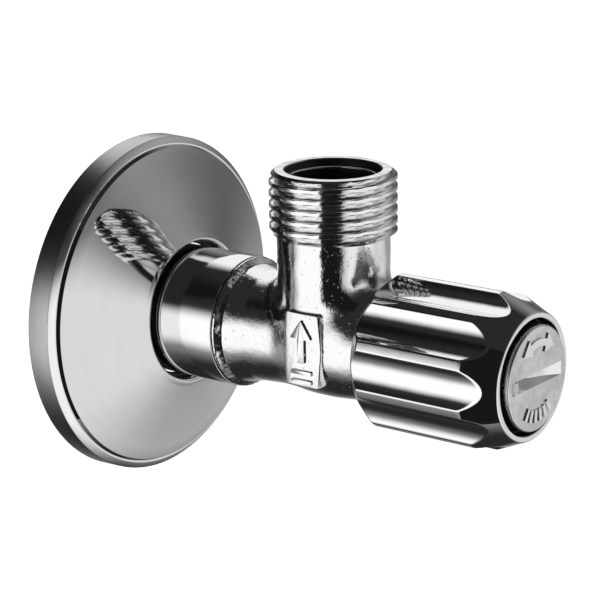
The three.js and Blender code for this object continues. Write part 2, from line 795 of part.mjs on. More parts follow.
function filterBasket() {
  let basket = turned([
    [BASKET_START_X, BASKET_BORE_R],
    [BASKET_START_X, BASKET_R],
    ...grooveIn(BASKET_GROOVE, BASKET_R),
    [BASKET_NOSE_END_X, BASKET_R],
    [BASKET_NOSE_END_X, BASKET_BORE_R],
  ]).add(rod(BASKET_DISC_X, BASKET_END_X, BASKET_R));
  const middleX = (BASKET_NOSE_END_X + BASKET_DISC_X) / 2;
  const length = BASKET_DISC_X - BASKET_NOSE_END_X + 2 * RIB_OVERLAP;
  for (let i = 0; i < RIBS; i += 1) {
    const rib = box([middleX, 0, RIB_MIDDLE_R], [length, RIB_WIDTH, RIB_HEIGHT]);
    basket = basket.add(rib.rotate([i * 360 / RIBS, 0, 0]));
  }
  return basket;
}

function filterMesh() {
  return ring(MESH_START_X, MESH_END_X, MESH_BORE_R, MESH_R);
}

// ---- Assembly -------------------------------------------------------------------------

const valve = new THREE.Group();

function add(name, body, makeMaterial) {
  const mesh = new THREE.Mesh(geometryOf(body), makeMaterial());
  mesh.name = name;
  valve.add(mesh);
}

add('valve_body', valveBody(), castChrome);
add('inlet_seal_ring', inletSeal(), nylon);
add('rosette', rosette(), satinChrome);
add('rosette_grip_ring', gripRing(), rubber);
add('cover_sleeve', coverSleeve(), chrome);
add('washer_carrier', washerCarrier(), brass);
add('seat_washer', seatWasher(), rubber);
add('washer_screw', washerScrew(), steel);
add('carrier_clip', carrierClip(), steel);
add('spindle', spindle(), brass);
add('separator_o_ring', oRing(SEPARATOR_O_RING), rubber);
add('spindle_stop_ring', stopRing(), steel);
add('headwork_bonnet', bonnet(), brass);
add('bonnet_gasket', bonnetGasket(), fibre);
add('bonnet_inner_o_ring', oRing(BONNET_INNER_O_RING), rubber);
add('bonnet_outer_o_ring', oRing(BONNET_OUTER_O_RING), rubber);
add('handle', handle(), chrome);
add('handle_circlip', handleClip(), steel);
add('filter_plug', filterPlug(), satinChrome);
add('plug_o_ring', oRing(PLUG_O_RING), rubber);
add('filter_basket', filterBasket(), nylon);
add('filter_mesh', filterMesh(), steel);
add('basket_o_ring', oRing(BASKET_O_RING), rubber);

export default valve;
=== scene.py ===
"""Looks of the filter-type angle stop valve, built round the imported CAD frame.

Shapes are worked out in millimetres and turned into metres when a piece is finished.
X runs from the wall to the handle, Z is up along the outlet.
"""

import json
import math

import bmesh
import bpy
import numpy as np
from mathutils import Matrix, Vector


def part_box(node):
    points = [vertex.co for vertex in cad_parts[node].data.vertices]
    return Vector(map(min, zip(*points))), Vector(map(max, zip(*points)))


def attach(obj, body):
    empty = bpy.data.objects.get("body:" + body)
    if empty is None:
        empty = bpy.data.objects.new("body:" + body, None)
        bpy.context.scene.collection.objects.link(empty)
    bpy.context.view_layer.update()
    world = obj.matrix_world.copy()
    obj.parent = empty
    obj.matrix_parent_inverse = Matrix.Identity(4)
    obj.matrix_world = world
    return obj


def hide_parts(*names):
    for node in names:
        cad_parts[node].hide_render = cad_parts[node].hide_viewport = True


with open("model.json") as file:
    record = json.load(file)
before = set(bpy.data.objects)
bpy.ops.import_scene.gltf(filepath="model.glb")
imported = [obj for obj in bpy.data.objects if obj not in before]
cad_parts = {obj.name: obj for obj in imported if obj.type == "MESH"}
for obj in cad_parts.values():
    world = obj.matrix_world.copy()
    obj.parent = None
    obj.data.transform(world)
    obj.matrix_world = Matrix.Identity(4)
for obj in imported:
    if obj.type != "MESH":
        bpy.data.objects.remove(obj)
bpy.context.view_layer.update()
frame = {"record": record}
MM = 0.001
TAU = 2 * math.pi


# ---- Places read from the frame --------------------------------

def span(node):
    """Lowest and highest corner of a CAD node, in millimetres."""
    low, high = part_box(node)
    return low / MM, high / MM


def mount_point(name):
    for mount in frame["record"]["mounts"]:
        if mount["name"] == name:
            return Vector(mount["pos_m"]) / MM
    raise ValueError(name)


BODY_LOW, BODY_HIGH = span("valve_body")
ROSETTE_HIGH = span("rosette")[1]
SLEEVE_LOW, SLEEVE_HIGH = span("cover_sleeve")
HANDLE_LOW, HANDLE_HIGH = span("handle")
PLUG_LOW, PLUG_HIGH = span("filter_plug")
SPINDLE_LOW, SPINDLE_HIGH = span("spindle")
BASKET_LOW, BASKET_HIGH = span("filter_basket")
MESH_LOW, MESH_HIGH = span("filter_mesh")

OUTLET_X = mount_point("outlet_face").x
OUTLET_TOP = BODY_HIGH.z
INLET_END = BODY_LOW.x
NECK_END = BODY_HIGH.x
ROSETTE_R = ROSETTE_HIGH.z
SLEEVE_R = SLEEVE_HIGH.z
RIDGE_R = HANDLE_HIGH.z
HANDLE_BACK = HANDLE_LOW.x
HANDLE_FRONT = HANDLE_HIGH.x
PLUG_FACE = PLUG_HIGH.x
PLUG_R = PLUG_HIGH.z


# ---- G 1/2 pipe thread, the same at the inlet and the outlet ---

THREAD_START = 17.7              # foot of the outlet thread
PIPE_PITCH = 1.814
PIPE_CREST_R = 10.45
PIPE_ROOT_R = 9.3
THREAD_ROWS = 18                 # rows of points in one pitch


# ---- Mesh building ---------------------------------------------

def new_object(name, vertices, faces):
    mesh = bpy.data.meshes.new(name)
    mesh.from_pydata([tuple(v) for v in vertices], [], faces)
    work = bmesh.new()
    work.from_mesh(mesh)
    bmesh.ops.recalc_face_normals(work, faces=work.faces)
    work.to_mesh(mesh)
    work.free()
    piece = bpy.data.objects.new(name, mesh)
    bpy.context.scene.collection.objects.link(piece)
    return piece


def skin(name, rings, closed=False):
    """A closed solid over rings of points: a tube with flat ends, or a ring if closed."""
    rings = np.asarray(rings)
    rows, columns, _ = rings.shape
    index = np.arange(rows * columns).reshape(rows, columns)
    beside = np.roll(index, -1, axis=1)
    low, high = (index, np.roll(index, -1, axis=0)) if closed else (index[:-1], index[1:])
    low2, high2 = (beside, np.roll(beside, -1, axis=0)) if closed else (beside[:-1], beside[1:])
    faces = np.stack([low, low2, high2, high], axis=-1).reshape(-1, 4).tolist()
    if not closed:
        faces.append(index[0].tolist())
        faces.append(index[-1][::-1].tolist())
    return new_object(name, rings.reshape(-1, 3), faces)


def rounded(outline, closed=False, step=12):
    """Replaces each corner (a, b, fillet) of an outline by an arc of that radius."""
    corners = [tuple(p) + (0,) * (3 - len(p)) for p in outline]
    count = len(corners)
    result = []
    for i, (a, b, fillet) in enumerate(corners):
        here = np.array([a, b])
        if fillet == 0 or (not closed and i in (0, count - 1)):
            result.append(here)
            continue
        before = np.array(corners[i - 1][:2]) - here
        after = np.array(corners[(i + 1) % count][:2]) - here
        before /= np.linalg.norm(before)
        after /= np.linalg.norm(after)
        half = math.acos(np.clip(before @ after, -1, 1)) / 2
        centre = here + (before + after) / np.linalg.norm(before + after) * fillet / math.sin(half)
        start = here + before * fillet / math.tan(half) - centre
        end = here + after * fillet / math.tan(half) - centre
        turn = math.pi - 2 * half
        pieces = max(2, round(math.degrees(turn) / step))
        for k in range(pieces + 1):
            t = k / pieces
            weight_a = math.sin((1 - t) * turn) / math.sin(turn)
            weight_b = math.sin(t * turn) / math.sin(turn)
            result.append(centre + weight_a * start + weight_b * end)
    return np.array(result)


def groove(start, end, surface_r, bottom_r, fillet=0):
    """Corners that a groove adds to an outline."""
    return [(start, surface_r, fillet), (start, bottom_r), (end, bottom_r),
            (end, surface_r, fillet)]


def circle_rows(outline, sides, axis="x", centre=0.0):
    """Rings of points round an axis. The outline is (place along the axis, radius)."""
    angle = np.arange(sides) / sides * TAU
    outline = np.asarray(outline)
    along = np.repeat(outline[:, :1], sides, axis=1)
    radius = outline[:, 1:2]
    if axis == "x":
        return np.stack([along, radius * np.cos(angle), radius * np.sin(angle)], axis=-1)
    return np.stack([centre + radius * np.cos(angle), radius * np.sin(angle), along], axis=-1)


def table_rows(places, angle, radius):
    """Rings of points round the X axis, from a radius for each place and angle."""
    along = np.broadcast_to(places[:, None], radius.shape)
    return np.stack([along, radius * np.cos(angle), radius * np.sin(angle)], axis=-1)


def turned(name, outline, sides=96, closed=False, axis="x", centre=0.0):
    dense = rounded(outline, closed)
    return skin(name, circle_rows(dense, sides, axis, centre), closed)


O_RING_FILL = 0.97               # share of the CAD ring's six-sided section
O_RING_FACETS = 20


def o_ring(name, node, sides=96):
    """A round-section ring that fills a CAD O-ring's box."""
    low, high = span(node)
    section = (high.x - low.x) / 2 / math.cos(math.pi / 6) * O_RING_FILL
    centre_x = (low.x + high.x) / 2
    centre_r = high.z - section
    around = np.arange(O_RING_FACETS) / O_RING_FACETS * TAU
    along = centre_x + section * np.cos(around)
    radius = centre_r + section * np.sin(around)
    return skin(name, circle_rows(np.stack([along, radius], axis=-1), sides), True)


def box(name, centre, size):
    half = np.array(size) / 2
    corners = [(-1, -1), (1, -1), (1, 1), (-1, 1)]
    rings = [[(centre[0] + s * half[0], centre[1] + y * half[1], centre[2] + z * half[2])
              for y, z in corners] for s in (-1, 1)]
    return skin(name, rings)


def settle_modifiers(piece):
    graph = bpy.context.evaluated_depsgraph_get()
    mesh = bpy.data.meshes.new_from_object(piece.evaluated_get(graph))
    old = piece.data
    piece.modifiers.clear()
    piece.data = mesh
    bpy.data.meshes.remove(old)


def combine(piece, operation, *tools):
    for tool in tools:
        modifier = piece.modifiers.new("join", "BOOLEAN")
        modifier.operation = operation
        modifier.solver = "MANIFOLD"
        modifier.object = tool
        settle_modifiers(piece)
        bpy.data.objects.remove(tool)
    return piece


def join(piece, *others):
    """Puts separate closed shells into one object."""
    work = bmesh.new()
    for part in (piece, *others):
        work.from_mesh(part.data)
    work.to_mesh(piece.data)
    work.free()
    for part in others:
        bpy.data.objects.remove(part)
    return piece


def finish_piece(piece, body, slot, material, *nodes, sharp=32, hidden=None, hidden_material=None):
    """Scales a piece to metres, shades it and hangs it on its CAD body.

    hidden(centres) picks the faces that get hidden_material instead.
    """
    count = len(piece.data.polygons)
    index = np.zeros(count, dtype=np.int32)
    piece.data.materials.clear()
    piece.data.materials.append(material)
    if hidden is not None:
        centres = np.zeros(count * 3)
        piece.data.polygons.foreach_get("center", centres)
        index[hidden(centres.reshape(-1, 3))] = 1
        piece.data.materials.append(hidden_material)
    piece.data.polygons.foreach_set("material_index", index)
    piece.data.transform(Matrix.Scale(MM, 4))
    piece.data.shade_smooth()
    piece.data.set_sharp_from_angle(angle=math.radians(sharp))
    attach(piece, body)
    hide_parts(*nodes)
    return piece


# ---- Materials -------------------------------------------------

class Nodes:
    """Short names for building a node material."""

    def __init__(self, name):
        self.material = bpy.data.materials.new(name)
        self.material.use_nodes = True
        self.tree = self.material.node_tree
        self.shader = self.tree.nodes["Principled BSDF"]
        self.place = self.add("ShaderNodeTexCoord").outputs["Object"]

    def add(self, kind, **inputs):
        node = self.tree.nodes.new(kind)
        for key, value in inputs.items():
            self.put(node.inputs[key], value)
        return node

    def put(self, socket, value):
        if isinstance(value, bpy.types.NodeSocket):
            self.tree.links.new(value, socket)
        else:
            socket.default_value = value

    def maths(self, operation, a, b=0.0):
        node = self.tree.nodes.new("ShaderNodeMath")
        node.operation = operation
        self.put(node.inputs[0], a)
        self.put(node.inputs[1], b)
        return node.outputs[0]

    def noise(self, scale, detail=2.0, vector=None, roughness=0.5):
        node = self.add("ShaderNodeTexNoise", Scale=scale, Detail=detail, Roughness=roughness)
        self.put(node.inputs["Vector"], self.place if vector is None else vector)
        return node.outputs["Fac"]

    def remap(self, value, low, high, out_low, out_high):
        node = self.tree.nodes.new("ShaderNodeMapRange")
        for socket, setting in zip(node.inputs[:5], (value, low, high, out_low, out_high)):
            self.put(socket, setting)
        return node.outputs[0]

    def bump(self, height, strength, distance, normal=None):
        node = self.add("ShaderNodeBump", Strength=strength, Distance=distance, Height=height)
        if normal is not None:
            self.put(node.inputs["Normal"], normal)
        return node.outputs["Normal"]

    def mix(self, value, first, second):
        node = self.tree.nodes.new("ShaderNodeMix")
        node.data_type = "RGBA"
        self.put(node.inputs["Factor"], value)
        self.put(node.inputs[6], first)
        self.put(node.inputs[7], second)
        return node.outputs[2]

    def tint(self, value, dark, light):
        return self.mix(value, (*dark, 1), (*light, 1))

    def set(self, **settings):
        for key, value in settings.items():
            self.put(self.shader.inputs[key.replace("_", " ")], value)
        return self.material


def axis_radius(nodes):
    """X, Y and Z of a place, and its distance from the valve's long axis, in metres."""
    parts = nodes.add("ShaderNodeSeparateXYZ", Vector=nodes.place).outputs
    side = nodes.maths("MULTIPLY", parts[1], parts[1])
    rise = nodes.maths("MULTIPLY", parts[2], parts[2])
    return parts, nodes.maths("SQRT", nodes.maths("ADD", side, rise))


def spun_vector(nodes, pitch, sweep):
    """Noise coordinates that change fast across turning marks and slowly along them."""
    parts, radius = axis_radius(nodes)
    across = nodes.maths("MULTIPLY", nodes.maths("ADD", radius, parts[0]), 1 / pitch)
    side = nodes.maths("MULTIPLY", nodes.maths("DIVIDE", parts[1], radius), sweep)
    rise = nodes.maths("MULTIPLY", nodes.maths("DIVIDE", parts[2], radius), sweep)
    return nodes.add("ShaderNodeCombineXYZ", X=across, Y=side, Z=rise).outputs[0]


def bright_chrome():
    nodes = Nodes("bright_chrome")
    smudge = nodes.noise(140, 3)
    wave = nodes.bump(nodes.noise(260, 1), 0.10, 0.0004)
    return nodes.set(Base_Color=nodes.tint(smudge, (0.86, 0.855, 0.85), (0.93, 0.925, 0.92)),
                     Metallic=1.0,
                     Roughness=nodes.remap(smudge, 0.3, 0.75, 0.02, 0.07),
                     Normal=wave)


def drawn_chrome():
    """Bright chrome over a turned tube: faint rings stay visible under the plating."""
    nodes = Nodes("drawn_chrome")
    rings = nodes.noise(1.0, 2, spun_vector(nodes, 0.00022, 1.5))
    smudge = nodes.noise(120, 3)
    return nodes.set(Base_Color=nodes.tint(smudge, (0.86, 0.855, 0.85), (0.92, 0.915, 0.91)),
                     Metallic=1.0,
                     Roughness=nodes.remap(smudge, 0.3, 0.75, 0.05, 0.10),
                     Normal=nodes.bump(rings, 0.04, 0.00002))


def cast_chrome():
    """Chrome over a hand-polished casting: wavy, with small pits."""
    nodes = Nodes("cast_chrome")
    wave = nodes.bump(nodes.noise(420, 2), 0.14, 0.0004)
    height = nodes.add("ShaderNodeSeparateXYZ", Vector=nodes.place).outputs[2]
    rough = nodes.remap(height, (THREAD_START - 0.6) * MM, THREAD_START * MM, 0.24, 0.04)
    grain = nodes.bump(nodes.noise(3200, 2), rough, 0.00006, wave)
    pits = nodes.remap(nodes.noise(2300, 1), 0.70, 0.78, 0.0, -1.0)
    pitted = nodes.bump(pits, nodes.maths("MULTIPLY", rough, 2.0), 0.00006, grain)
    cloud = nodes.noise(300, 4)
    return nodes.set(Base_Color=nodes.tint(cloud, (0.84, 0.835, 0.83), (0.92, 0.915, 0.91)),
                     Metallic=1.0,
                     Roughness=nodes.remap(cloud, 0.3, 0.75, 0.05, 0.16),
                     Normal=pitted)


def spun_chrome():
    """Chrome of the rosette: a polished face with fine circles inside a brushed rim, with a painted
    highlight on the rounded bevel.
    """
    nodes = Nodes("spun_chrome")
    fine = nodes.noise(1.0, 3, spun_vector(nodes, 0.00012, 3.0))
    broad = nodes.noise(1.0, 2, spun_vector(nodes, 0.0011, 1.2))
    radius = axis_radius(nodes)[1]
    rim = nodes.remap(radius, (ROSETTE_R - 0.25) * MM, (ROSETTE_R - 0.1) * MM, 0.0, 1.0)
    painted_bevel_highlight = nodes.remap(radius, (ROSETTE_R - 1.7) * MM, (ROSETTE_R - 1.4) * MM, 0.0, 1.0)
    face = nodes.tint(broad, (0.72, 0.705, 0.70), (0.79, 0.775, 0.77))
    # A brighter base colour on the rounded bevel is a painted highlight.
    bright = nodes.mix(painted_bevel_highlight, face, (0.95, 0.945, 0.94, 1))
    brushed = nodes.tint(fine, (0.44, 0.435, 0.43), (0.64, 0.63, 0.62))
    polish = nodes.remap(fine, 0.3, 0.7, 0.02, 0.05)
    grain = nodes.bump(fine, nodes.remap(rim, 0.0, 1.0, 0.025, 0.22), 0.00002)
    return nodes.set(Base_Color=nodes.mix(rim, bright, brushed),
                     Metallic=1.0,
                     Roughness=nodes.remap(rim, 0.0, 1.0, polish, 0.3),
                     Normal=grain)


def matt_chrome():
    nodes = Nodes("matt_chrome")
    fine = nodes.noise(1.0, 2, spun_vector(nodes, 0.00009, 4.0))
    speck = nodes.noise(2500, 3)
    blotch = nodes.noise(330, 4, roughness=0.6)
    return nodes.set(Base_Color=nodes.tint(nodes.remap(blotch, 0.38, 0.62, 0.0, 1.0),
                                           (0.66, 0.66, 0.67), (0.86, 0.86, 0.86)),
                     Metallic=1.0,
                     Roughness=nodes.remap(speck, 0.3, 0.7, 0.26, 0.36),
                     Normal=nodes.bump(fine, 0.2, 0.00003))


def turned_metal(name, dark, light, roughness):
    nodes = Nodes(name)
    marks = nodes.noise(1.0, 2, spun_vector(nodes, 0.00016, 2.0))
    stain = nodes.noise(350, 4)
    return nodes.set(Base_Color=nodes.tint(stain, dark, light),
                     Metallic=1.0,
                     Roughness=nodes.remap(marks, 0.3, 0.7, roughness, roughness + 0.14),
                     Normal=nodes.bump(marks, 0.25, 0.00004))


def moulded(name, dark, light, roughness, grain):
    """Rubber, fibre or plastic with a fine surface grain."""
    nodes = Nodes(name)
    speck = nodes.noise(grain, 4)
    return nodes.set(Base_Color=nodes.tint(speck, dark, light),
                     Roughness=nodes.remap(speck, 0.3, 0.7, roughness - 0.08, roughness + 0.08),
                     Normal=nodes.bump(speck, 0.3, 0.00006))


CHROME = bright_chrome()
TUBE_CHROME = drawn_chrome()
CAST_CHROME = cast_chrome()
SPUN_CHROME = spun_chrome()
MATT_CHROME = matt_chrome()
BRASS = turned_metal("machined_brass", (0.56, 0.40, 0.17), (0.72, 0.54, 0.26), 0.22)
STEEL = turned_metal("stainless_steel", (0.46, 0.46, 0.47), (0.62, 0.62, 0.63), 0.25)
RUBBER = moulded("moulded_rubber", (0.012, 0.012, 0.013), (0.03, 0.03, 0.032), 0.5, 1800)
FIBRE = moulded("sealing_fibre", (0.20, 0.09, 0.05), (0.34, 0.17, 0.10), 0.8, 2600)
# The near-black colour of this waterway metal is painted shade in the deep bores, over a rough
# machined finish.
BORE_SHADE_METAL = turned_metal("waterway_painted_shade", (0.05, 0.045, 0.04), (0.09, 0.08, 0.07), 0.5)
# Plastic for the handle's front recess: unplated plastic, made near-black as painted shade of the
# gap round the plug.
RECESS_PLASTIC_AND_SHADE = moulded("recess_plastic_and_painted_shade", (0.006, 0.006, 0.006), (0.012, 0.012, 0.012), 0.5, 1500)
NYLON = moulded("natural_nylon", (0.70, 0.67, 0.58), (0.80, 0.77, 0.69), 0.42, 900)


# ---- Camera, stage and light -----------------------------------

CAMERA_AZIMUTH = 37.05
CAMERA_ELEVATION = 15.81
CAMERA_ROLL = -0.754
CAMERA_DISTANCE = 390.7
CAMERA_LENS = 142.26
CAMERA_AIM = (35.34, -1.45, 5.84)


def camera():
    azimuth = math.radians(CAMERA_AZIMUTH)
    elevation = math.radians(CAMERA_ELEVATION)
    roll = math.radians(CAMERA_ROLL)
    back = Vector((math.sin(azimuth) * math.cos(elevation),
                   -math.cos(azimuth) * math.cos(elevation),
                   math.sin(elevation)))
    right = Vector((math.cos(azimuth), math.sin(azimuth), 0))
    up = back.cross(right)
    right, up = (right * math.cos(roll) + up * math.sin(roll),
                 up * math.cos(roll) - right * math.sin(roll))
    data = bpy.data.cameras.new("camera")
    data.lens = CAMERA_LENS
    data.sensor_width = 36
    data.clip_start = 0.01
    data.clip_end = 20
    holder = bpy.data.objects.new("camera", data)
    bpy.context.scene.collection.objects.link(holder)
    turn = Matrix((right, up, back)).transposed().to_4x4()
    place = (Vector(CAMERA_AIM) + back * CAMERA_DISTANCE) * MM
    holder.matrix_world = Matrix.Translation(place) @ turn
    bpy.context.scene.camera = holder


def plain_material(name, color, glow):
    nodes = Nodes(name)
    nodes.set(Base_Color=(*color, 1), Roughness=0.9)
    nodes.set(Emission_Color=(*color, 1), Emission_Strength=glow)
    return nodes.material


FLOOR_HALF_WIDTH = 4.0           # metres
FLOOR_HEIGHT = -0.4


def stage():
    half = FLOOR_HALF_WIDTH
    corners = [(-half, -half), (half, -half), (half, half), (-half, half)]
    floor = new_object("floor", [(x, y, FLOOR_HEIGHT) for x, y in corners], [(0, 1, 2, 3)])
    floor.data.materials.append(plain_material("pale_floor", (0.97, 0.97, 0.97), 1.0))
    floor.visible_glossy = False
    floor.visible_diffuse = False


# Centre of each light panel or black flag as (azimuth from +X towards +Y, elevation), its
# half width and half height, all in degrees, then how soft its edges are, then its
# brightness. A later one stands in front of an earlier one.
PANELS = [
    ((25, 14), (24, 14), 0.25, 0.28),
    ((54, -16), (16, 14), 0.20, 0.95),
    ((-104, -12.5), (32, 26), 0.25, 1.40),
    ((-59, -10), (20, 60), 0.02, 0.012),
    ((2, -27), (34, 33), 0.25, 1.15),
    ((64, 29), (36, 16), 0.30, 0.42),
    ((83, -48), (40, 28), 0.45, 0.80),
    ((116, 55), (7.2, 12), 0.04, 1.10),
    ((131, 37), (15, 27), 0.12, 1.25),
    ((-165, 5), (23, 20), 0.12, 0.02),
    ((-167, 36), (29, 18), 0.10, 0.01),
    ((145, -69), (40, 31), 0.40, 0.03),
]
GLOW_BELOW = 0.35
GLOW_ABOVE = 0.03


def studio_world():
    world = bpy.data.worlds.new("studio")
    bpy.context.scene.world = world
    world.use_nodes = True
    tree = world.node_tree
    tree.nodes.clear()

    def link(value, socket):
        if isinstance(value, bpy.types.NodeSocket):
            tree.links.new(value, socket)
        else:
            socket.default_value = value

    def maths(operation, a, b=0.0):
        node = tree.nodes.new("ShaderNodeMath")
        node.operation = operation
        link(a, node.inputs[0])
        link(b, node.inputs[1])
        return node.outputs[0]

    def along(direction, axis):
        node = tree.nodes.new("ShaderNodeVectorMath")
        node.operation = "DOT_PRODUCT"
        tree.links.new(direction, node.inputs[0])
        node.inputs[1].default_value = axis
        return node.outputs["Value"]

    def fade(value, start, end, first, last):
        node = tree.nodes.new("ShaderNodeMapRange")
        node.interpolation_type = "SMOOTHSTEP"
        for socket, setting in zip(node.inputs[:5], (value, start, end, first, last)):
            link(setting, socket)
        return node.outputs[0]

    def fade_to(value, goal, amount):
        node = tree.nodes.new("ShaderNodeMix")
        tree.links.new(amount, node.inputs["Factor"])
        tree.links.new(value, node.inputs["A"])
        node.inputs["B"].default_value = goal
        return node.outputs["Result"]

    direction = tree.nodes.new("ShaderNodeTexCoord").outputs["Generated"]
    total = fade(along(direction, (0, 0, 1)), -0.5, 0.5, GLOW_BELOW, GLOW_ABOVE)
    for (azimuth, elevation), (width, height), softness, brightness in PANELS:
        a, e = math.radians(azimuth), math.radians(elevation)
        ahead = Vector((math.cos(a) * math.cos(e), math.sin(a) * math.cos(e), math.sin(e)))
        side = Vector((-math.sin(a), math.cos(a), 0))
        up = ahead.cross(side)
        forward = along(direction, ahead)
        safe = maths("MAXIMUM", forward, 0.001)
        mask = maths("GREATER_THAN", forward, 0.0)
        for axis, half in ((side, width), (up, height)):
            limit = math.tan(math.radians(half))
            offset = maths("ABSOLUTE", maths("DIVIDE", along(direction, axis), safe))
            inside = fade(offset, limit - softness, limit + softness, 1.0, 0.0)
            mask = maths("MULTIPLY", mask, inside)
        total = fade_to(total, brightness, mask)
    glow = tree.nodes.new("ShaderNodeBackground")
    link(total, glow.inputs["Strength"])
    backdrop = tree.nodes.new("ShaderNodeBackground")
    backdrop.inputs["Color"].default_value = (1, 1, 1, 1)
    seen = tree.nodes.new("ShaderNodeLightPath").outputs["Is Camera Ray"]
    choose = tree.nodes.new("ShaderNodeMixShader")
    tree.links.new(seen, choose.inputs[0])
    tree.links.new(glow.outputs[0], choose.inputs[1])
    tree.links.new(backdrop.outputs[0], choose.inputs[2])
    out = tree.nodes.new("ShaderNodeOutputWorld")
    tree.links.new(choose.outputs[0], out.inputs["Surface"])
    world.cycles.sampling_method = "MANUAL"
    world.cycles.sample_map_resolution = 512
    bpy.context.scene.view_settings.view_transform = "Standard"


# ---- Threads ---------------------------------------------------

ROOT_SHARE = 0.06                # share of a pitch that is flat root
FLANK_SHARE = 0.62               # share of a pitch that both flanks take together


def thread_depth(phase):
    """0 at the narrow root and 1 at the broad, rounded crest of a pipe thread."""
    height = np.clip((np.abs(2 * (phase % 1.0) - 1) - ROOT_SHARE) / FLANK_SHARE, 0, 1)
    return 0.5 * height + 0.5 * height * height * (3 - 2 * height)


def threaded_rows(start, end, root_r, crest_r, pitch, sides, limit):
    """Radii of an external right-hand thread. limit(place) is the radius of the blank."""
    count = int((end - start) / pitch * THREAD_ROWS) + 1
    places = np.linspace(start, end, count)
    angle = np.arange(sides) / sides * TAU
    phase = places[:, None] / pitch - angle[None, :] / TAU
    radius = root_r + (crest_r - root_r) * thread_depth(phase)
    radius = np.minimum(radius, limit(places)[:, None])
    return places, angle, radius


def small_thread(start, end, root_r, crest_r, pitch, sides, end_r):
    """A machine thread along X. Its ends are cut at 45 degrees, down to end_r."""
    def limit(x):
        return np.minimum(end_r + (x - start), end_r + (end - x))

    table = threaded_rows(start, end, root_r, crest_r, pitch, sides, limit)
    return skin("thread", table_rows(*table))


# ---- Valve body ------------------------------------------------

COLLAR_X = 24.2
COLLAR_R = 11.0
BARREL_R = 9.05
BARREL_PROFILE = rounded([
    (20, COLLAR_R), (24.4, COLLAR_R, 0.12), (25.45, 10.08, 0.25), (28.4, 9.35, 5),
    (33.5, BARREL_R, 20), (70, BARREL_R),
])
COLUMN_R = 9.26
BELLY = 1.04                     # the column's round bottom is flattened by this much
FILLET = 2.2                     # between barrel and column, on the wall side
FILLET_GAIN = 1.8                # how much wider it gets towards the handle
WAVES = 14
POLISH_WAVE = 0.010
RAGGED_WAVE = 0.022
CAST_VOXEL = 0.27
PRESS_ROUNDS = 5                 # Newton steps that bring the casting onto its shape
PAD_ROOT_Y = 8.0
PAD_Y = 10.1
PAD_X = OUTLET_X + 0.8
MARK_ROOT_Y = 9.6
MARK_RAISED = 0.4
NIPPLE_X = 6.6                   # where the inlet thread ends and the plain nipple starts
NIPPLE_R = 10.4
GROOVE_X = 4.4                   # seal groove at the root of the inlet thread
INLET_BORE_R = 6.5
PORT_R = 4.5
PORT_TOP = 11.0
SEAT_X = 17.0
SEAT_LIP_R = 5.5
CHAMBER_R = 7.6
CHAMBER_END = 30.0
SPINDLE_BORE_R = 6.6
BONNET_X = 47.6
BONNET_BORE_R = 7.8
OUTLET_BORE_R = 6.6
LEDGE_Z = OUTLET_TOP - 1.3       # polished ledge in the outlet's mouth
MOUTH_R = 7.92
TIP_R = 8.6                      # of the inlet thread


def blend_between(value, low, high):
    t = np.clip((value - low) / (high - low), 0, 1)
    return t * t * (3 - 2 * t)


def smooth_min(a, b, width):
    overlap = np.maximum(width - np.abs(a - b), 0) / width
    return np.minimum(a, b) - overlap * overlap * width / 4


def ripple(points, seed, shortest, longest):
    """Sum of seeded waves of the given lengths, in the range of a few units."""
    draw = np.random.default_rng(seed)
    height = np.zeros(len(points))
    for _ in range(WAVES):
        direction = draw.normal(size=3)
        direction *= TAU / draw.uniform(shortest, longest) / np.linalg.norm(direction)
        height += draw.uniform(0.3, 1.0) * np.sin(points @ direction + draw.uniform(0, TAU))
    return height


def casting_waves(points):
    """Slight unevenness that polishing leaves on a casting, and the collar's ragged edge."""
    ragged = np.exp(-((points[:, 0] - COLLAR_X - 0.7) / 0.7) ** 2)
    polished = POLISH_WAVE * ripple(points, 7, 3.5, 9.0)
    return polished + RAGGED_WAVE * ragged * ripple(points, 11, 0.9, 2.4)


def casting_distance(points):
    """Signed distance to the outside of the tee, from the collar to the neck."""
    x, y, z = points.T
    barrel = np.sqrt(y * y + z * z) - np.interp(x, *BARREL_PROFILE.T)
    below = np.minimum(z, 0) * BELLY
    column = np.sqrt((x - OUTLET_X) ** 2 + y * y + below * below) - COLUMN_R
    fillet = FILLET + FILLET_GAIN * blend_between(x, OUTLET_X, OUTLET_X + 8)
    return smooth_min(barrel, column, fillet) - casting_waves(points)


def cast_tee():
    """Outer skin of the tee: a coarse solid, remeshed and pressed onto the smooth shape."""
    rough = turned("casting", [
        (COLLAR_X - 1, COLLAR_R), (COLLAR_X + 0.3, COLLAR_R), (COLLAR_X + 1.4, 9.9),
        (NECK_END + 1, BARREL_R),
    ], 64)
    column = turned("column", [(0, COLUMN_R), (THREAD_START + 1.5, COLUMN_R)], 64,
                    axis="z", centre=OUTLET_X)
    combine(rough, "UNION", column)
    remesh = rough.modifiers.new("remesh", "REMESH")
    remesh.mode = "VOXEL"
    remesh.voxel_size = CAST_VOXEL
    settle_modifiers(rough)
    points = np.zeros(len(rough.data.vertices) * 3)
    rough.data.vertices.foreach_get("co", points)
    points = points.reshape(-1, 3)
    moving = (points[:, 0] > COLLAR_X - 0.6) & (points[:, 0] < NECK_END + 0.6)
    moving &= points[:, 2] < THREAD_START + 1.1
    step = 0.01
    for _ in range(PRESS_ROUNDS):
        here = points[moving]
        value = casting_distance(here)
        slope = np.stack([(casting_distance(here + step * np.eye(3)[k]) - value) / step
                          for k in range(3)], axis=-1)
        points[moving] -= (value / (slope ** 2).sum(axis=1))[:, None] * slope
    rough.data.vertices.foreach_set("co", points.ravel())
    rough.data.update()
    trim = turned("trim", [(COLLAR_X, 40), (NECK_END, 40)], 16)
    cap = box("cap", (OUTLET_X, 0, THREAD_START + 0.5 + 20), (60, 60, 40))
    combine(rough, "INTERSECT", trim)
    return combine(rough, "DIFFERENCE", cap)


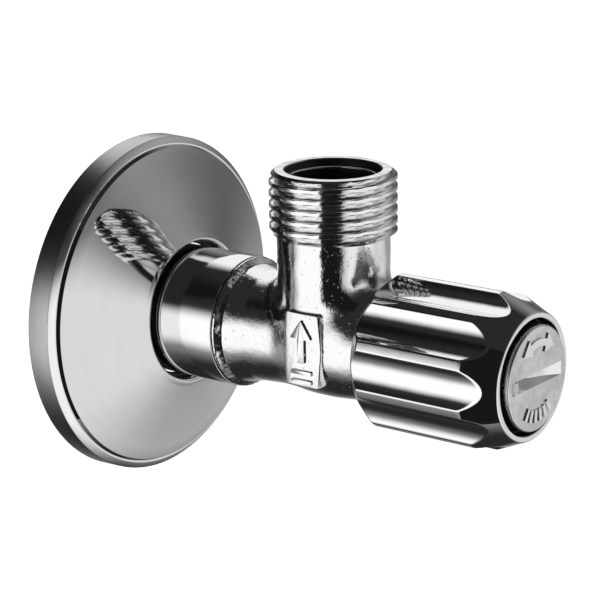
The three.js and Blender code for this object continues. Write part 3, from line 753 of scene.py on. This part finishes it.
def plate(name, outline, back_y, face_y, edge, fillet):
    """A flat plate facing Y, with rounded corners and a softened front edge."""
    flat = rounded([(a, b, fillet) for a, b in outline], closed=True, step=15)
    centre = flat.mean(axis=0)
    outward = np.sign(face_y - back_y)
    rings = []
    for inset, y in [
        (0, back_y),
        (0, face_y - outward * edge),
        (0.3 * edge, face_y - outward * 0.3 * edge),
        (edge, face_y),
    ]:
        away = flat - centre
        shrunk = centre + away * (1 - inset / np.linalg.norm(away, axis=1, keepdims=True))
        rings.append(np.stack([shrunk[:, 0], np.full(len(flat), y), shrunk[:, 1]], axis=-1))
    return skin(name, rings)


def side_pad(side):
    outline = [(PAD_X + a, b) for a, b in
               [(-3.2, -5.7), (3.2, -5.7), (3.8, 0.5), (3.2, 6.7), (-3.2, 6.7), (-3.8, 0.5)]]
    return plate("pad", outline, side * PAD_ROOT_Y, side * PAD_Y, 0.25, 0.5)


def cast_mark(name, outline, height):
    """A mark cast on the front pad. The outline is measured from the pad's middle line."""
    places = [(PAD_X + a, b + height) for a, b in outline]
    return plate(name, places, -MARK_ROOT_Y, -PAD_Y - MARK_RAISED, 0.1, 0.12)


def cast_marks():
    """Raised flow arrow and two bars."""
    arrow = [(-0.65, -2.2), (0.65, -2.2), (0.65, 1.9), (2.1, 1.9), (0, 5.0), (-2.1, 1.9),
             (-0.65, 1.9)]
    bar = [(-2.0, -0.35), (2.0, -0.35), (2.0, 0.35), (-2.0, 0.35)]
    return [cast_mark("arrow", arrow, 0.6), cast_mark("bar", bar, -4.75),
            cast_mark("bar", bar, -3.2)]


def inlet_nipple():
    start, end = INLET_END, NIPPLE_X
    run_out = 2.3                # length next to the nipple that is cut down to the root

    def limit(x):
        crest = np.where(x > end - run_out, PIPE_ROOT_R, PIPE_CREST_R)
        return np.minimum(TIP_R + (x - start), crest)

    table = threaded_rows(start, end, PIPE_ROOT_R, PIPE_CREST_R, PIPE_PITCH, 128, limit)
    plain = [(end, NIPPLE_R - 0.1), (end + 0.15, NIPPLE_R), (COLLAR_X, NIPPLE_R),
             (COLLAR_X, PIPE_ROOT_R), (COLLAR_X + 0.5, PIPE_ROOT_R)]
    return skin("nipple", np.concatenate([table_rows(*table), circle_rows(plain, 128)]))


def outlet_end():
    start, end = THREAD_START, OUTLET_TOP

    def limit(z):
        foot = COLUMN_R + (z - start) * 1.6 + 0.1
        tip = 9.5 + (end - z) * 1.05
        return np.minimum(np.minimum(foot, tip), PIPE_CREST_R)

    table = threaded_rows(start, end, PIPE_ROOT_R, PIPE_CREST_R, PIPE_PITCH, 192, limit)
    up, across, side = np.moveaxis(table_rows(*table), -1, 0)
    return skin("outlet", np.stack([OUTLET_X + across, side, up], axis=-1))


def waterway(centres):
    """Faces inside the bores, which are machined and not polished and get a near-black painted
    shade.
    """
    x, y, z = centres.T
    radius = np.hypot(y, z)
    bore = radius < BONNET_BORE_R + 0.1
    end_face = (radius < TIP_R - 0.2) & (x < INLET_END + 0.1)
    ledge = np.abs(z - LEDGE_Z) < 0.25
    mouth = (np.hypot(x - OUTLET_X, y) < MOUTH_R + 0.03) & (z > 0) & (z < OUTLET_TOP - 0.2)
    return bore | end_face | (mouth & ~ledge)


def body_bores():
    water = turned("water", [
        (INLET_END - 1, INLET_BORE_R), (SEAT_X - 2, INLET_BORE_R),
        (SEAT_X - 2, PORT_R), (SEAT_X, PORT_R), (SEAT_X, SEAT_LIP_R),
        (SEAT_X - 1, SEAT_LIP_R), (SEAT_X - 1, CHAMBER_R), (CHAMBER_END, CHAMBER_R),
        (CHAMBER_END, SPINDLE_BORE_R), (BONNET_X, SPINDLE_BORE_R),
        (BONNET_X, BONNET_BORE_R), (NECK_END + 1, BONNET_BORE_R),
    ], 80)
    mouth = turned("mouth", [
        (0, PORT_R), (PORT_TOP, PORT_R), (PORT_TOP, OUTLET_BORE_R, 0.3), (23.2, OUTLET_BORE_R),
        (24, 6.9, 0.2), (26.4, 6.95), (27.25, 7.0, 0.22), (27.35, 7.7),
        (OUTLET_TOP - 0.15, MOUTH_R), (OUTLET_TOP + 0.1, MOUTH_R + 0.25),
        (OUTLET_TOP + 1, MOUTH_R + 0.25),
    ], 128, axis="z", centre=OUTLET_X)
    seal_groove = turned("groove", groove(GROOVE_X, NIPPLE_X, PIPE_ROOT_R, 12), 96, True)
    return [water, mouth, seal_groove]


def valve_body():
    piece = cast_tee()
    piece.name = "body_casting"
    combine(piece, "UNION", side_pad(-1), side_pad(1), *cast_marks(), inlet_nipple(), outlet_end())
    combine(piece, "DIFFERENCE", *body_bores())
    # The bore faces get the waterway metal, whose near-black colour is painted shade.
    finish_piece(piece, "body", "cast_chrome", CAST_CHROME, "valve_body", sharp=38,
                 hidden=waterway, hidden_material=BORE_SHADE_METAL)


# ---- Rosette and sleeve ----------------------------------------

SLEEVE_WALL = 0.34


def rosette():
    r = ROSETTE_R
    lip = ROSETTE_HIGH.x
    outline = [
        (0, r, 0.15), (4.1, r - 0.1, 0.1), (4.85, r - 1.2, 0.1), (4.8, r - 1.45, 0.08),
        (5.45, r - 1.85, 0.25), (8.3, 20.35, 185), (lip - 0.55, 13.3, 1.2), (lip, 12.35, 0.42),
        (lip - 0.6, 11.95, 0.3), (lip - 1.5, 11.95), (lip - 1.5, 12.6, 0.3), (7.33, 20.15, 150),
        (4.55, r - 2.3, 0.3), (3.5, r - 1.0, 0.3), (0, r - 0.9, 0.1),
    ]
    piece = turned("rosette_plate", outline, 240, True)
    finish_piece(piece, "wall_cover", "satin_chrome", SPUN_CHROME, "rosette", sharp=50)
    ring = turned("grip_ring", [
        (8.2, 11.4, 0.25), (8.2, 13.4, 0.2), (9.9, 13.4, 0.2), (9.9, 11.4, 0.25),
        (9.3, 11.3, 0.1), (8.8, 11.3, 0.1),
    ], 128, True)
    finish_piece(ring, "wall_cover", "rubber", RUBBER, "rosette_grip_ring")


def sleeve():
    start, end, r = SLEEVE_LOW.x, SLEEVE_HIGH.x, SLEEVE_R
    bore_r = r - SLEEVE_WALL
    outline = [(start, r, 0.1), (end, r, 0.16), (end, bore_r, 0.1), (start, bore_r, 0.1)]
    tube = turned("sleeve_tube", outline, 192, True)
    finish_piece(tube, "sleeve", "chrome", TUBE_CHROME, "cover_sleeve")


# ---- Handle ----------------------------------------------------

FLUTES = 10
RIDGE_HALF_WIDTH = 0.82
FLUTE_BOTTOM_R = 11.4
CONE_START = 73.4
CONE_FRONT_R = 10.3
BACK_R = 11.3
CHAMFER_END = 54.3
RIDGE_SOFTNESS = 0.16
CONE_SOFTNESS = 0.18
HANDLE_SIDES = 510
HANDLE_CAVITY_R = 9.75
RECESS_R = 8.9
BEZEL_R = 9.4
BEZEL_DEPTH = 2.2
WEB_START = 65.5                 # the web that sits on the spindle's drive
WEB_END = 69.0
DRIVE_START = 65.2
DRIVE_CORNER_R = 5.6
DRIVE_HOLE_CORNER_R = 5.95


def flute_radius(angle):
    """Radius of the fluted outline, with a ridge at the top."""
    step = TAU / FLUTES
    half = step / 2 - math.asin(RIDGE_HALF_WIDTH / RIDGE_R)
    chord = RIDGE_R * math.sin(half)
    sagitta = RIDGE_R * math.cos(half) - FLUTE_BOTTOM_R
    flute_r = (chord ** 2 + sagitta ** 2) / (2 * sagitta)
    centre = FLUTE_BOTTOM_R + flute_r
    off = (angle - math.pi / 2) % step - step / 2
    inside = np.maximum(flute_r ** 2 - (centre * np.sin(off)) ** 2, 0)
    radius = np.where(inside > 0, centre * np.cos(off) - np.sqrt(inside), RIDGE_R + 3)
    return smooth_min(radius, np.full_like(radius, RIDGE_R), RIDGE_SOFTNESS)


def hexagon_radius(angle, corner_r):
    """Radius of a hexagon that has a corner at angle 0."""
    return corner_r * math.cos(TAU / 12) / np.cos(angle % (TAU / 6) - TAU / 12)


def handle():
    """The fluted shell. Its rows of points lie close together where the flutes run out."""
    angle = np.arange(HANDLE_SIDES) / HANDLE_SIDES * TAU
    back = np.linspace(HANDLE_BACK, HANDLE_BACK + 4.2, 44)
    front = np.linspace(CONE_START - 1.6, HANDLE_FRONT - 0.12, 84)
    places = np.concatenate([back, np.linspace(back[-1], front[0], 8)[1:-1], front])
    chamfer = BACK_R + (places - HANDLE_BACK) * (RIDGE_R - BACK_R) / (CHAMFER_END - HANDLE_BACK)
    cone = RIDGE_R - (places - CONE_START) * (RIDGE_R - CONE_FRONT_R) / (HANDLE_FRONT - CONE_START)
    envelope = np.minimum(chamfer, cone)
    radius = smooth_min(flute_radius(angle)[None, :], envelope[:, None], CONE_SOFTNESS)
    outer = table_rows(places, angle, radius)
    bezel_back = HANDLE_FRONT - BEZEL_DEPTH
    inner = rounded([
        (HANDLE_FRONT - 0.12, CONE_FRONT_R + 0.05), (HANDLE_FRONT, CONE_FRONT_R - 0.12, 0.1),
        (HANDLE_FRONT, BEZEL_R + 0.1, 0.1), (HANDLE_FRONT - 0.12, BEZEL_R - 0.02, 0.05),
        (bezel_back, BEZEL_R - 0.1, 0.2), (bezel_back, RECESS_R, 0.1), (WEB_END, RECESS_R),
        (WEB_END, DRIVE_HOLE_CORNER_R), (WEB_START, DRIVE_HOLE_CORNER_R),
        (WEB_START, HANDLE_CAVITY_R, 0.4), (HANDLE_BACK + 0.3, HANDLE_CAVITY_R, 0.2),
        (HANDLE_BACK, 10.0, 0.1), (HANDLE_BACK, BACK_R - 0.1),
    ])
    inner_r = inner[1:, 1:]
    hole = hexagon_radius(angle, DRIVE_HOLE_CORNER_R)
    inner_r = np.where(inner_r == DRIVE_HOLE_CORNER_R, hole, inner_r)
    inside = table_rows(inner[1:, 0], angle, inner_r)
    piece = skin("handle_shell", np.concatenate([outer, inside]), True)
    # Faces inside the bezel get the recess plastic; its near-black colour is partly painted shade
    # in the recess.
    finish_piece(piece, "spindle_set", "chrome", CHROME, "handle", sharp=40,
                 hidden=lambda at: np.hypot(at[:, 1], at[:, 2]) < BEZEL_R - 0.01,
                 hidden_material=RECESS_PLASTIC_AND_SHADE)


# ---- Filter plug -----------------------------------------------

SLOT_CUTTER_R = 17.0
SLOT_DEPTH = 1.55
SLOT_WIDTH = 2.2
RAISED = 0.25
PLUG_HEAD = 3.5
PLUG_STEM_R = 4.0
PLUG_CORE_R = 3.6
PLUG_GROOVE = (62.9, 64.6)
PLUG_GROOVE_R = 3.1
PLUG_SHOULDER = 72.3
TURN_ARC_R = 5.8
TURN_ARC_WIDTH = 1.2
TURN_ARC_ENDS = (68, 112)        # degrees from +Y towards +Z
TIP_HALF_WIDTH = 1.5
TIP_LENGTH = 2.4
SIEVE_BARS = 6
SIEVE_R = 6.0
SIEVE_LENGTH = 2.1
SIEVE_HALF_WIDTH = 2.9           # degrees
SIEVE_STEP = 12.5                # degrees from one bar to the next


def arc_bar(name, radius, width, start, end, low, high):
    """A raised arc on the plug's face. Angles are in degrees from +Y towards +Z."""
    inner, outer = radius - width / 2, radius + width / 2
    steps = max(3, round(abs(end - start) / 4))
    rings = []
    for k in range(steps + 1):
        angle = math.radians(start + (end - start) * k / steps)
        corners = [(inner, low), (outer, low), (outer - 0.03, high), (inner + 0.03, high)]
        rings.append([(x, r * math.cos(angle), r * math.sin(angle)) for r, x in corners])
    return skin(name, rings)


def arrow_tip(name, radius, angle, turn, low, high):
    """A raised triangle at the end of an arc, pointing the way that the arc runs."""
    a = math.radians(angle)
    out = np.array([math.cos(a), math.sin(a)])
    along = np.array([-math.sin(a), math.cos(a)]) * turn
    middle, wing = radius * out, TIP_HALF_WIDTH * out
    points = [middle + wing, middle + TIP_LENGTH * along, middle - wing]
    return skin(name, [[(x, *p) for p in points] for x in (low, high)])


def plug():
    stem_start = PLUG_LOW.x
    head = PLUG_FACE - PLUG_HEAD
    face = PLUG_FACE - RAISED
    near, far = PLUG_GROOVE
    piece = turned("plug_head", [
        (stem_start, 0.5), (stem_start, PLUG_STEM_R, 0.3), (near, PLUG_STEM_R, 0.1),
        (near, PLUG_GROOVE_R), (far, PLUG_GROOVE_R), (far, PLUG_CORE_R),
        (PLUG_SHOULDER, PLUG_CORE_R), (PLUG_SHOULDER, 6.4, 0.3), (head, 6.4),
        (head, PLUG_R, 0.3), (face, PLUG_R, 0.3), (face, 0.5),
    ], 160)
    thread = small_thread(start=65.2, end=71.9, root_r=3.5, crest_r=PLUG_STEM_R, pitch=1.0,
                          sides=64, end_r=3.55)
    half = SLOT_WIDTH / 2
    cutter = turned("cutter", [(-half, SLOT_CUTTER_R), (half, SLOT_CUTTER_R)], 256)
    cutter.data.transform(Matrix.Translation((face + SLOT_CUTTER_R - SLOT_DEPTH, 0, 0))
                          @ Matrix.Rotation(math.pi / 2, 4, "Y"))
    low, high = face - 0.3, PLUG_FACE
    right, left = TURN_ARC_ENDS
    marks = [arc_bar("turn_arc", TURN_ARC_R, TURN_ARC_WIDTH, right, left, low, high),
             arrow_tip("turn_tip", TURN_ARC_R, left, 1, low, high),
             arrow_tip("turn_tip", TURN_ARC_R, right, -1, low, high)]
    for k in range(SIEVE_BARS):
        middle = 270 + (k - (SIEVE_BARS - 1) / 2) * SIEVE_STEP
        marks.append(arc_bar("sieve_bar", SIEVE_R, SIEVE_LENGTH, middle - SIEVE_HALF_WIDTH,
                             middle + SIEVE_HALF_WIDTH, low, high))
    combine(piece, "UNION", thread, *marks)
    combine(piece, "DIFFERENCE", cutter)

    def polished(centres):
        """Faces of the slot and the tops of the marks."""
        x, y, z = centres.T
        slot = (x > head) & (x < face - 0.01) & (np.hypot(y, z) < PLUG_R - 0.4)
        return slot | (x > face + 0.05)

    finish_piece(piece, "plug", "plug_satin", MATT_CHROME, "filter_plug",
                 hidden=polished, hidden_material=CHROME)
    seal("plug_seal", "plug_o_ring", "plug")


# ---- Headwork --------------------------------------------------

SPINDLE_R = 5.8
STEM_R = 5.6
SEPARATOR_GROOVE = (30.7, 32.8)
SEPARATOR_GROOVE_R = 4.95
STOP_GROOVE = (43, 44.2)
STOP_GROOVE_R = 5.1
CIRCLIP_GROOVE = (69.4, 70.6)
CIRCLIP_GROOVE_R = 4.8
CLIP_GROOVE = (24.05, 25.15)     # inside the spindle's nose, round the carrier clip
CLIP_GROOVE_R = 3.2
FILTER_BORE_START = 26.4
FILTER_BORE_R = 4.3
NOSE_BORE_R = 2.1
CARRIER_R = 6.3
CUP_RIM = 17.9
CUP_FLOOR = 19.6
CUP_BACK = 21
CARRIER_END = 26.2
CARRIER_CUP_R = 5.8
CARRIER_STEM_R = 1.8
CARRIER_GROOVE = (24.2, 25)
CARRIER_GROOVE_R = 1.3
SCREW_HOLE_R = 1.3
WASHER_R = 5.5
BONNET_THREAD_R = 7.5
BONNET_ROOT_R = 7.1
BONNET_INNER_R = 6.3
BONNET_GROOVES = ((58.7, 60.3), (61.2, 62.8))
BONNET_GROOVE_R = 7.4
BONNET_THREAD_END = 57.4
BONNET_TOP_R = 8.2
HEX_START = 58.6
HEX_END = 61.4
HEX_CORNER_R = 9.2


def radial_slots(start, end, width):
    """Cutters for two crossed pairs of openings through the spindle's wall."""
    centre = ((start + end) / 2, 0, 0)
    length = end - start
    return [box("slot", centre, (length, width, 20)), box("slot", centre, (length, 20, width))]


def six_flats(start, end, inner_r, outer_r, corner_r):
    """A cutter that leaves a hexagon of the given corner radius between start and end."""
    ring = turned("outside", [(start, inner_r), (start, outer_r), (end, outer_r), (end, inner_r)],
                  24, True)
    core = skin("hexagon", circle_rows([(start - 1, corner_r), (end + 1, corner_r)], 6))
    return combine(ring, "DIFFERENCE", core)


def seal(name, node, body):
    """An O-ring in its groove."""
    finish_piece(o_ring(name, node), body, "rubber", RUBBER, node)


def spindle():
    start, end = SPINDLE_LOW.x, SPINDLE_HIGH.x
    near, far = STOP_GROOVE
    drive_r = STEM_R - 0.01      # just inside the corners of the hexagon
    piece = turned("spindle_turning", [
        (start, 1), (start, SPINDLE_R, 0.4),
        *groove(*SEPARATOR_GROOVE, SPINDLE_R, SEPARATOR_GROOVE_R, 0.1),
        (near, SPINDLE_R, 0.1), (near, STOP_GROOVE_R), (far, STOP_GROOVE_R), (far, STEM_R),
        (DRIVE_START, STEM_R), (DRIVE_START, drive_r),
        *groove(*CIRCLIP_GROOVE, drive_r, CIRCLIP_GROOVE_R),
        (end, drive_r, 0.4), (end, 1),
    ], 96)
    thread = small_thread(start=49, end=54.8, root_r=5.5, crest_r=5.98, pitch=1.25, sides=96,
                          end_r=5.5)
    combine(piece, "UNION", thread)
    bore = turned("bore", [
        (start - 1, NOSE_BORE_R), *groove(*CLIP_GROOVE, NOSE_BORE_R, CLIP_GROOVE_R),
        (FILTER_BORE_START, NOSE_BORE_R), (FILTER_BORE_START, FILTER_BORE_R),
        (end - 0.3, FILTER_BORE_R), (end + 0.2, FILTER_BORE_R + 0.5),
        (end + 1, FILTER_BORE_R + 0.5),
    ], 96)
    outside = six_flats(DRIVE_START, end + 1, inner_r=4.5, outer_r=7, corner_r=DRIVE_CORNER_R)
    ports = radial_slots(start=27, end=29.6, width=2.6)
    windows = radial_slots(start=34.5, end=42.5, width=4)
    combine(piece, "DIFFERENCE", outside, bore, *ports, *windows)
    finish_piece(piece, "spindle_set", "brass", BRASS, "spindle")
    seal("separator_ring", "separator_o_ring", "spindle_set")


def open_ring(name, node, body, inner_r, gap):
    """A snap ring that fills a CAD ring's box, open at the bottom."""
    low, high = span(node)
    outer_r = high.z
    piece = turned(name, [(low.x, outer_r, 0.08), (high.x, outer_r, 0.08),
                          (high.x, inner_r, 0.08), (low.x, inner_r, 0.08)], 96, True)
    middle = (low.x + high.x) / 2
    opening = box("gap", (middle, 0, -outer_r), (2, gap, 2 * (outer_r - inner_r) + 2))
    finish_piece(combine(piece, "DIFFERENCE", opening), body, "steel", STEEL, node)


def washers():
    carrier = turned("carrier", [
        (CUP_RIM, CARRIER_CUP_R), (CUP_RIM, CARRIER_R, 0.1), (CUP_BACK, CARRIER_R, 0.3),
        (CUP_BACK, CARRIER_STEM_R), *groove(*CARRIER_GROOVE, CARRIER_STEM_R, CARRIER_GROOVE_R),
        (CARRIER_END, CARRIER_STEM_R, 0.2), (CARRIER_END, 0.3), (23, 0.3), (23, SCREW_HOLE_R),
        (CUP_FLOOR, SCREW_HOLE_R), (CUP_FLOOR, CARRIER_CUP_R),
    ], 96, True)
    core = turned("core", [(22.5, 1.0), (CARRIER_END, 1.0)], 32)
    combine(carrier, "UNION", core)
    finish_piece(carrier, "washer_set", "brass", BRASS, "washer_carrier")
    back, front = 17.3, 19.3
    washer = turned("washer", [
        (back, 1.4), (back, WASHER_R, 0.3), (front, WASHER_R, 0.1), (front, 1.4),
    ], 96, True)
    finish_piece(washer, "washer_set", "rubber", RUBBER, "seat_washer")
    screw = turned("screw", [(15.6, 2.5, 0.5), (16.9, 2.5), (16.9, 1), (22, 1)], 64)
    combine(screw, "DIFFERENCE", box("slot", (15.7, 0, 0), (1.2, 0.7, 6)))
    finish_piece(screw, "washer_set", "steel", STEEL, "washer_screw")
    open_ring("clip_ring", "carrier_clip", "washer_set", inner_r=1.6, gap=1.6)


def headwork():
    low, high = span("headwork_bonnet")
    start, end = low.x, high.x

    def limit(x):
        return np.minimum(BONNET_ROOT_R + (x - start), BONNET_THREAD_R)

    table = threaded_rows(start, BONNET_THREAD_END, BONNET_ROOT_R, BONNET_THREAD_R, 1.0, 96,
                          limit)
    top = circle_rows([
        (57.5, BONNET_ROOT_R), (HEX_START, BONNET_ROOT_R), (HEX_START, HEX_CORNER_R),
        (HEX_END, HEX_CORNER_R), (HEX_END, BONNET_TOP_R), (end - 0.3, BONNET_TOP_R),
        (end, BONNET_TOP_R - 0.3),
    ], 96)
    piece = skin("bonnet_turning", np.concatenate([table_rows(*table), top]))
    outside = six_flats(HEX_START, HEX_END, inner_r=7.9, outer_r=14, corner_r=HEX_CORNER_R)
    grooves = [corner for place in BONNET_GROOVES
               for corner in groove(*place, BONNET_INNER_R, BONNET_GROOVE_R)]
    bore = turned("bore", [(start - 1, BONNET_INNER_R), *grooves, (end + 1, BONNET_INNER_R)], 96)
    combine(piece, "DIFFERENCE", outside, bore)
    finish_piece(piece, "body", "brass", BRASS, "headwork_bonnet")
    gasket = turned("gasket", [
        (57.7, 7.8), (57.7, 9.03, 0.1), (58.3, 9.03, 0.1), (58.3, 7.8),
    ], 96, True)
    finish_piece(gasket, "body", "fibre", FIBRE, "bonnet_gasket")
    seal("bonnet_seal_inner", "bonnet_inner_o_ring", "body")
    seal("bonnet_seal_outer", "bonnet_outer_o_ring", "body")
    finish_piece(o_ring("inlet_seal", "inlet_seal_ring"), "body", "nylon", NYLON, "inlet_seal_ring")
    open_ring("stop_ring", "spindle_stop_ring", "spindle_set", inner_r=5.4, gap=3)
    open_ring("handle_snap_ring", "handle_circlip", "spindle_set", inner_r=5.1, gap=3)


# ---- Filter basket ---------------------------------------------

BASKET_R = 3.95
BASKET_BORE_R = 2.9
BASKET_SIDES = 96
BASKET_GROOVE = (31, 32.2)
BASKET_GROOVE_R = 3.2
COLLAR_END = 33.5                # back of the basket's front collar
BACK_COLLAR_START = 60
RIBS = 6
RIB_SIZE = (27.0, 0.8, 0.28)
RIB_CENTRE = (46.7, 0, 3.77)
WIRE_R = 0.07
WIRE_WAVE = 0.07                 # how far a wire swings out as it crosses another
WEFT_WIRES = 54
WARP_WIRES = 36


def wire_along(name, points, sides=4, closed=False):
    """A wire through a list of points."""
    points = np.asarray(points)
    if closed:
        ahead = np.roll(points, -1, axis=0) - np.roll(points, 1, axis=0)
    else:
        ahead = np.gradient(points, axis=0)
    ahead /= np.linalg.norm(ahead, axis=1, keepdims=True)
    out = points * np.array([0, 1, 1])
    out /= np.linalg.norm(out, axis=1, keepdims=True)
    side = np.cross(ahead, out)
    out = np.cross(side, ahead)
    turn = (np.arange(sides) / sides * TAU)[None, :, None]
    rings = points[:, None] + WIRE_R * (np.cos(turn) * out[:, None] + np.sin(turn) * side[:, None])
    return skin(name, rings, closed)


def filter_mesh():
    """Woven wires: rings round the basket and straight wires along it."""
    start, end = MESH_LOW.x + 0.2, MESH_HIGH.x - 0.2
    middle_r = MESH_HIGH.z - 0.16
    along = np.linspace(start, end, WEFT_WIRES)
    angle = np.arange(WARP_WIRES * 2) / (WARP_WIRES * 2) * TAU
    wires = []
    for k, x in enumerate(along):
        weave = middle_r + WIRE_WAVE * np.cos(WARP_WIRES * angle + math.pi * k)
        ring = [np.full(len(angle), x), weave * np.cos(angle), weave * np.sin(angle)]
        wires.append(wire_along("weft", np.stack(ring, axis=-1), closed=True))
    weave = middle_r - WIRE_WAVE * np.cos(math.pi * np.arange(WEFT_WIRES))
    for k in range(WARP_WIRES):
        a = k / WARP_WIRES * TAU
        post = [along, weave * math.cos(a), weave * math.sin(a)]
        wires.append(wire_along("warp", np.stack(post, axis=-1)))
    piece = join(*wires)
    piece.name = "woven_filter"
    finish_piece(piece, "basket", "steel", STEEL, "filter_mesh")


def basket():
    start, end, r = BASKET_LOW.x, BASKET_HIGH.x, BASKET_R
    nose = turned("basket_frame", [
        (start, BASKET_BORE_R, 0.1), (start, r, 0.2), *groove(*BASKET_GROOVE, r, BASKET_GROOVE_R),
        (COLLAR_END, r, 0.2), (COLLAR_END, BASKET_BORE_R, 0.1),
    ], BASKET_SIDES, True)
    back = turned("back", [(BACK_COLLAR_START, r, 0.2), (end, r, 0.2)], BASKET_SIDES)
    ribs = []
    for k in range(RIBS):
        rib = box("rib", RIB_CENTRE, RIB_SIZE)
        rib.data.transform(Matrix.Rotation(k * TAU / RIBS, 4, "X"))
        ribs.append(rib)
    combine(nose, "UNION", back, *ribs)
    finish_piece(nose, "basket", "nylon", NYLON, "filter_basket")
    seal("basket_seal", "basket_o_ring", "basket")


# ---- Assembly --------------------------------------------------

camera()
studio_world()
stage()
valve_body()
rosette()
sleeve()
handle()
plug()
spindle()
washers()
headwork()
filter_mesh()
basket()
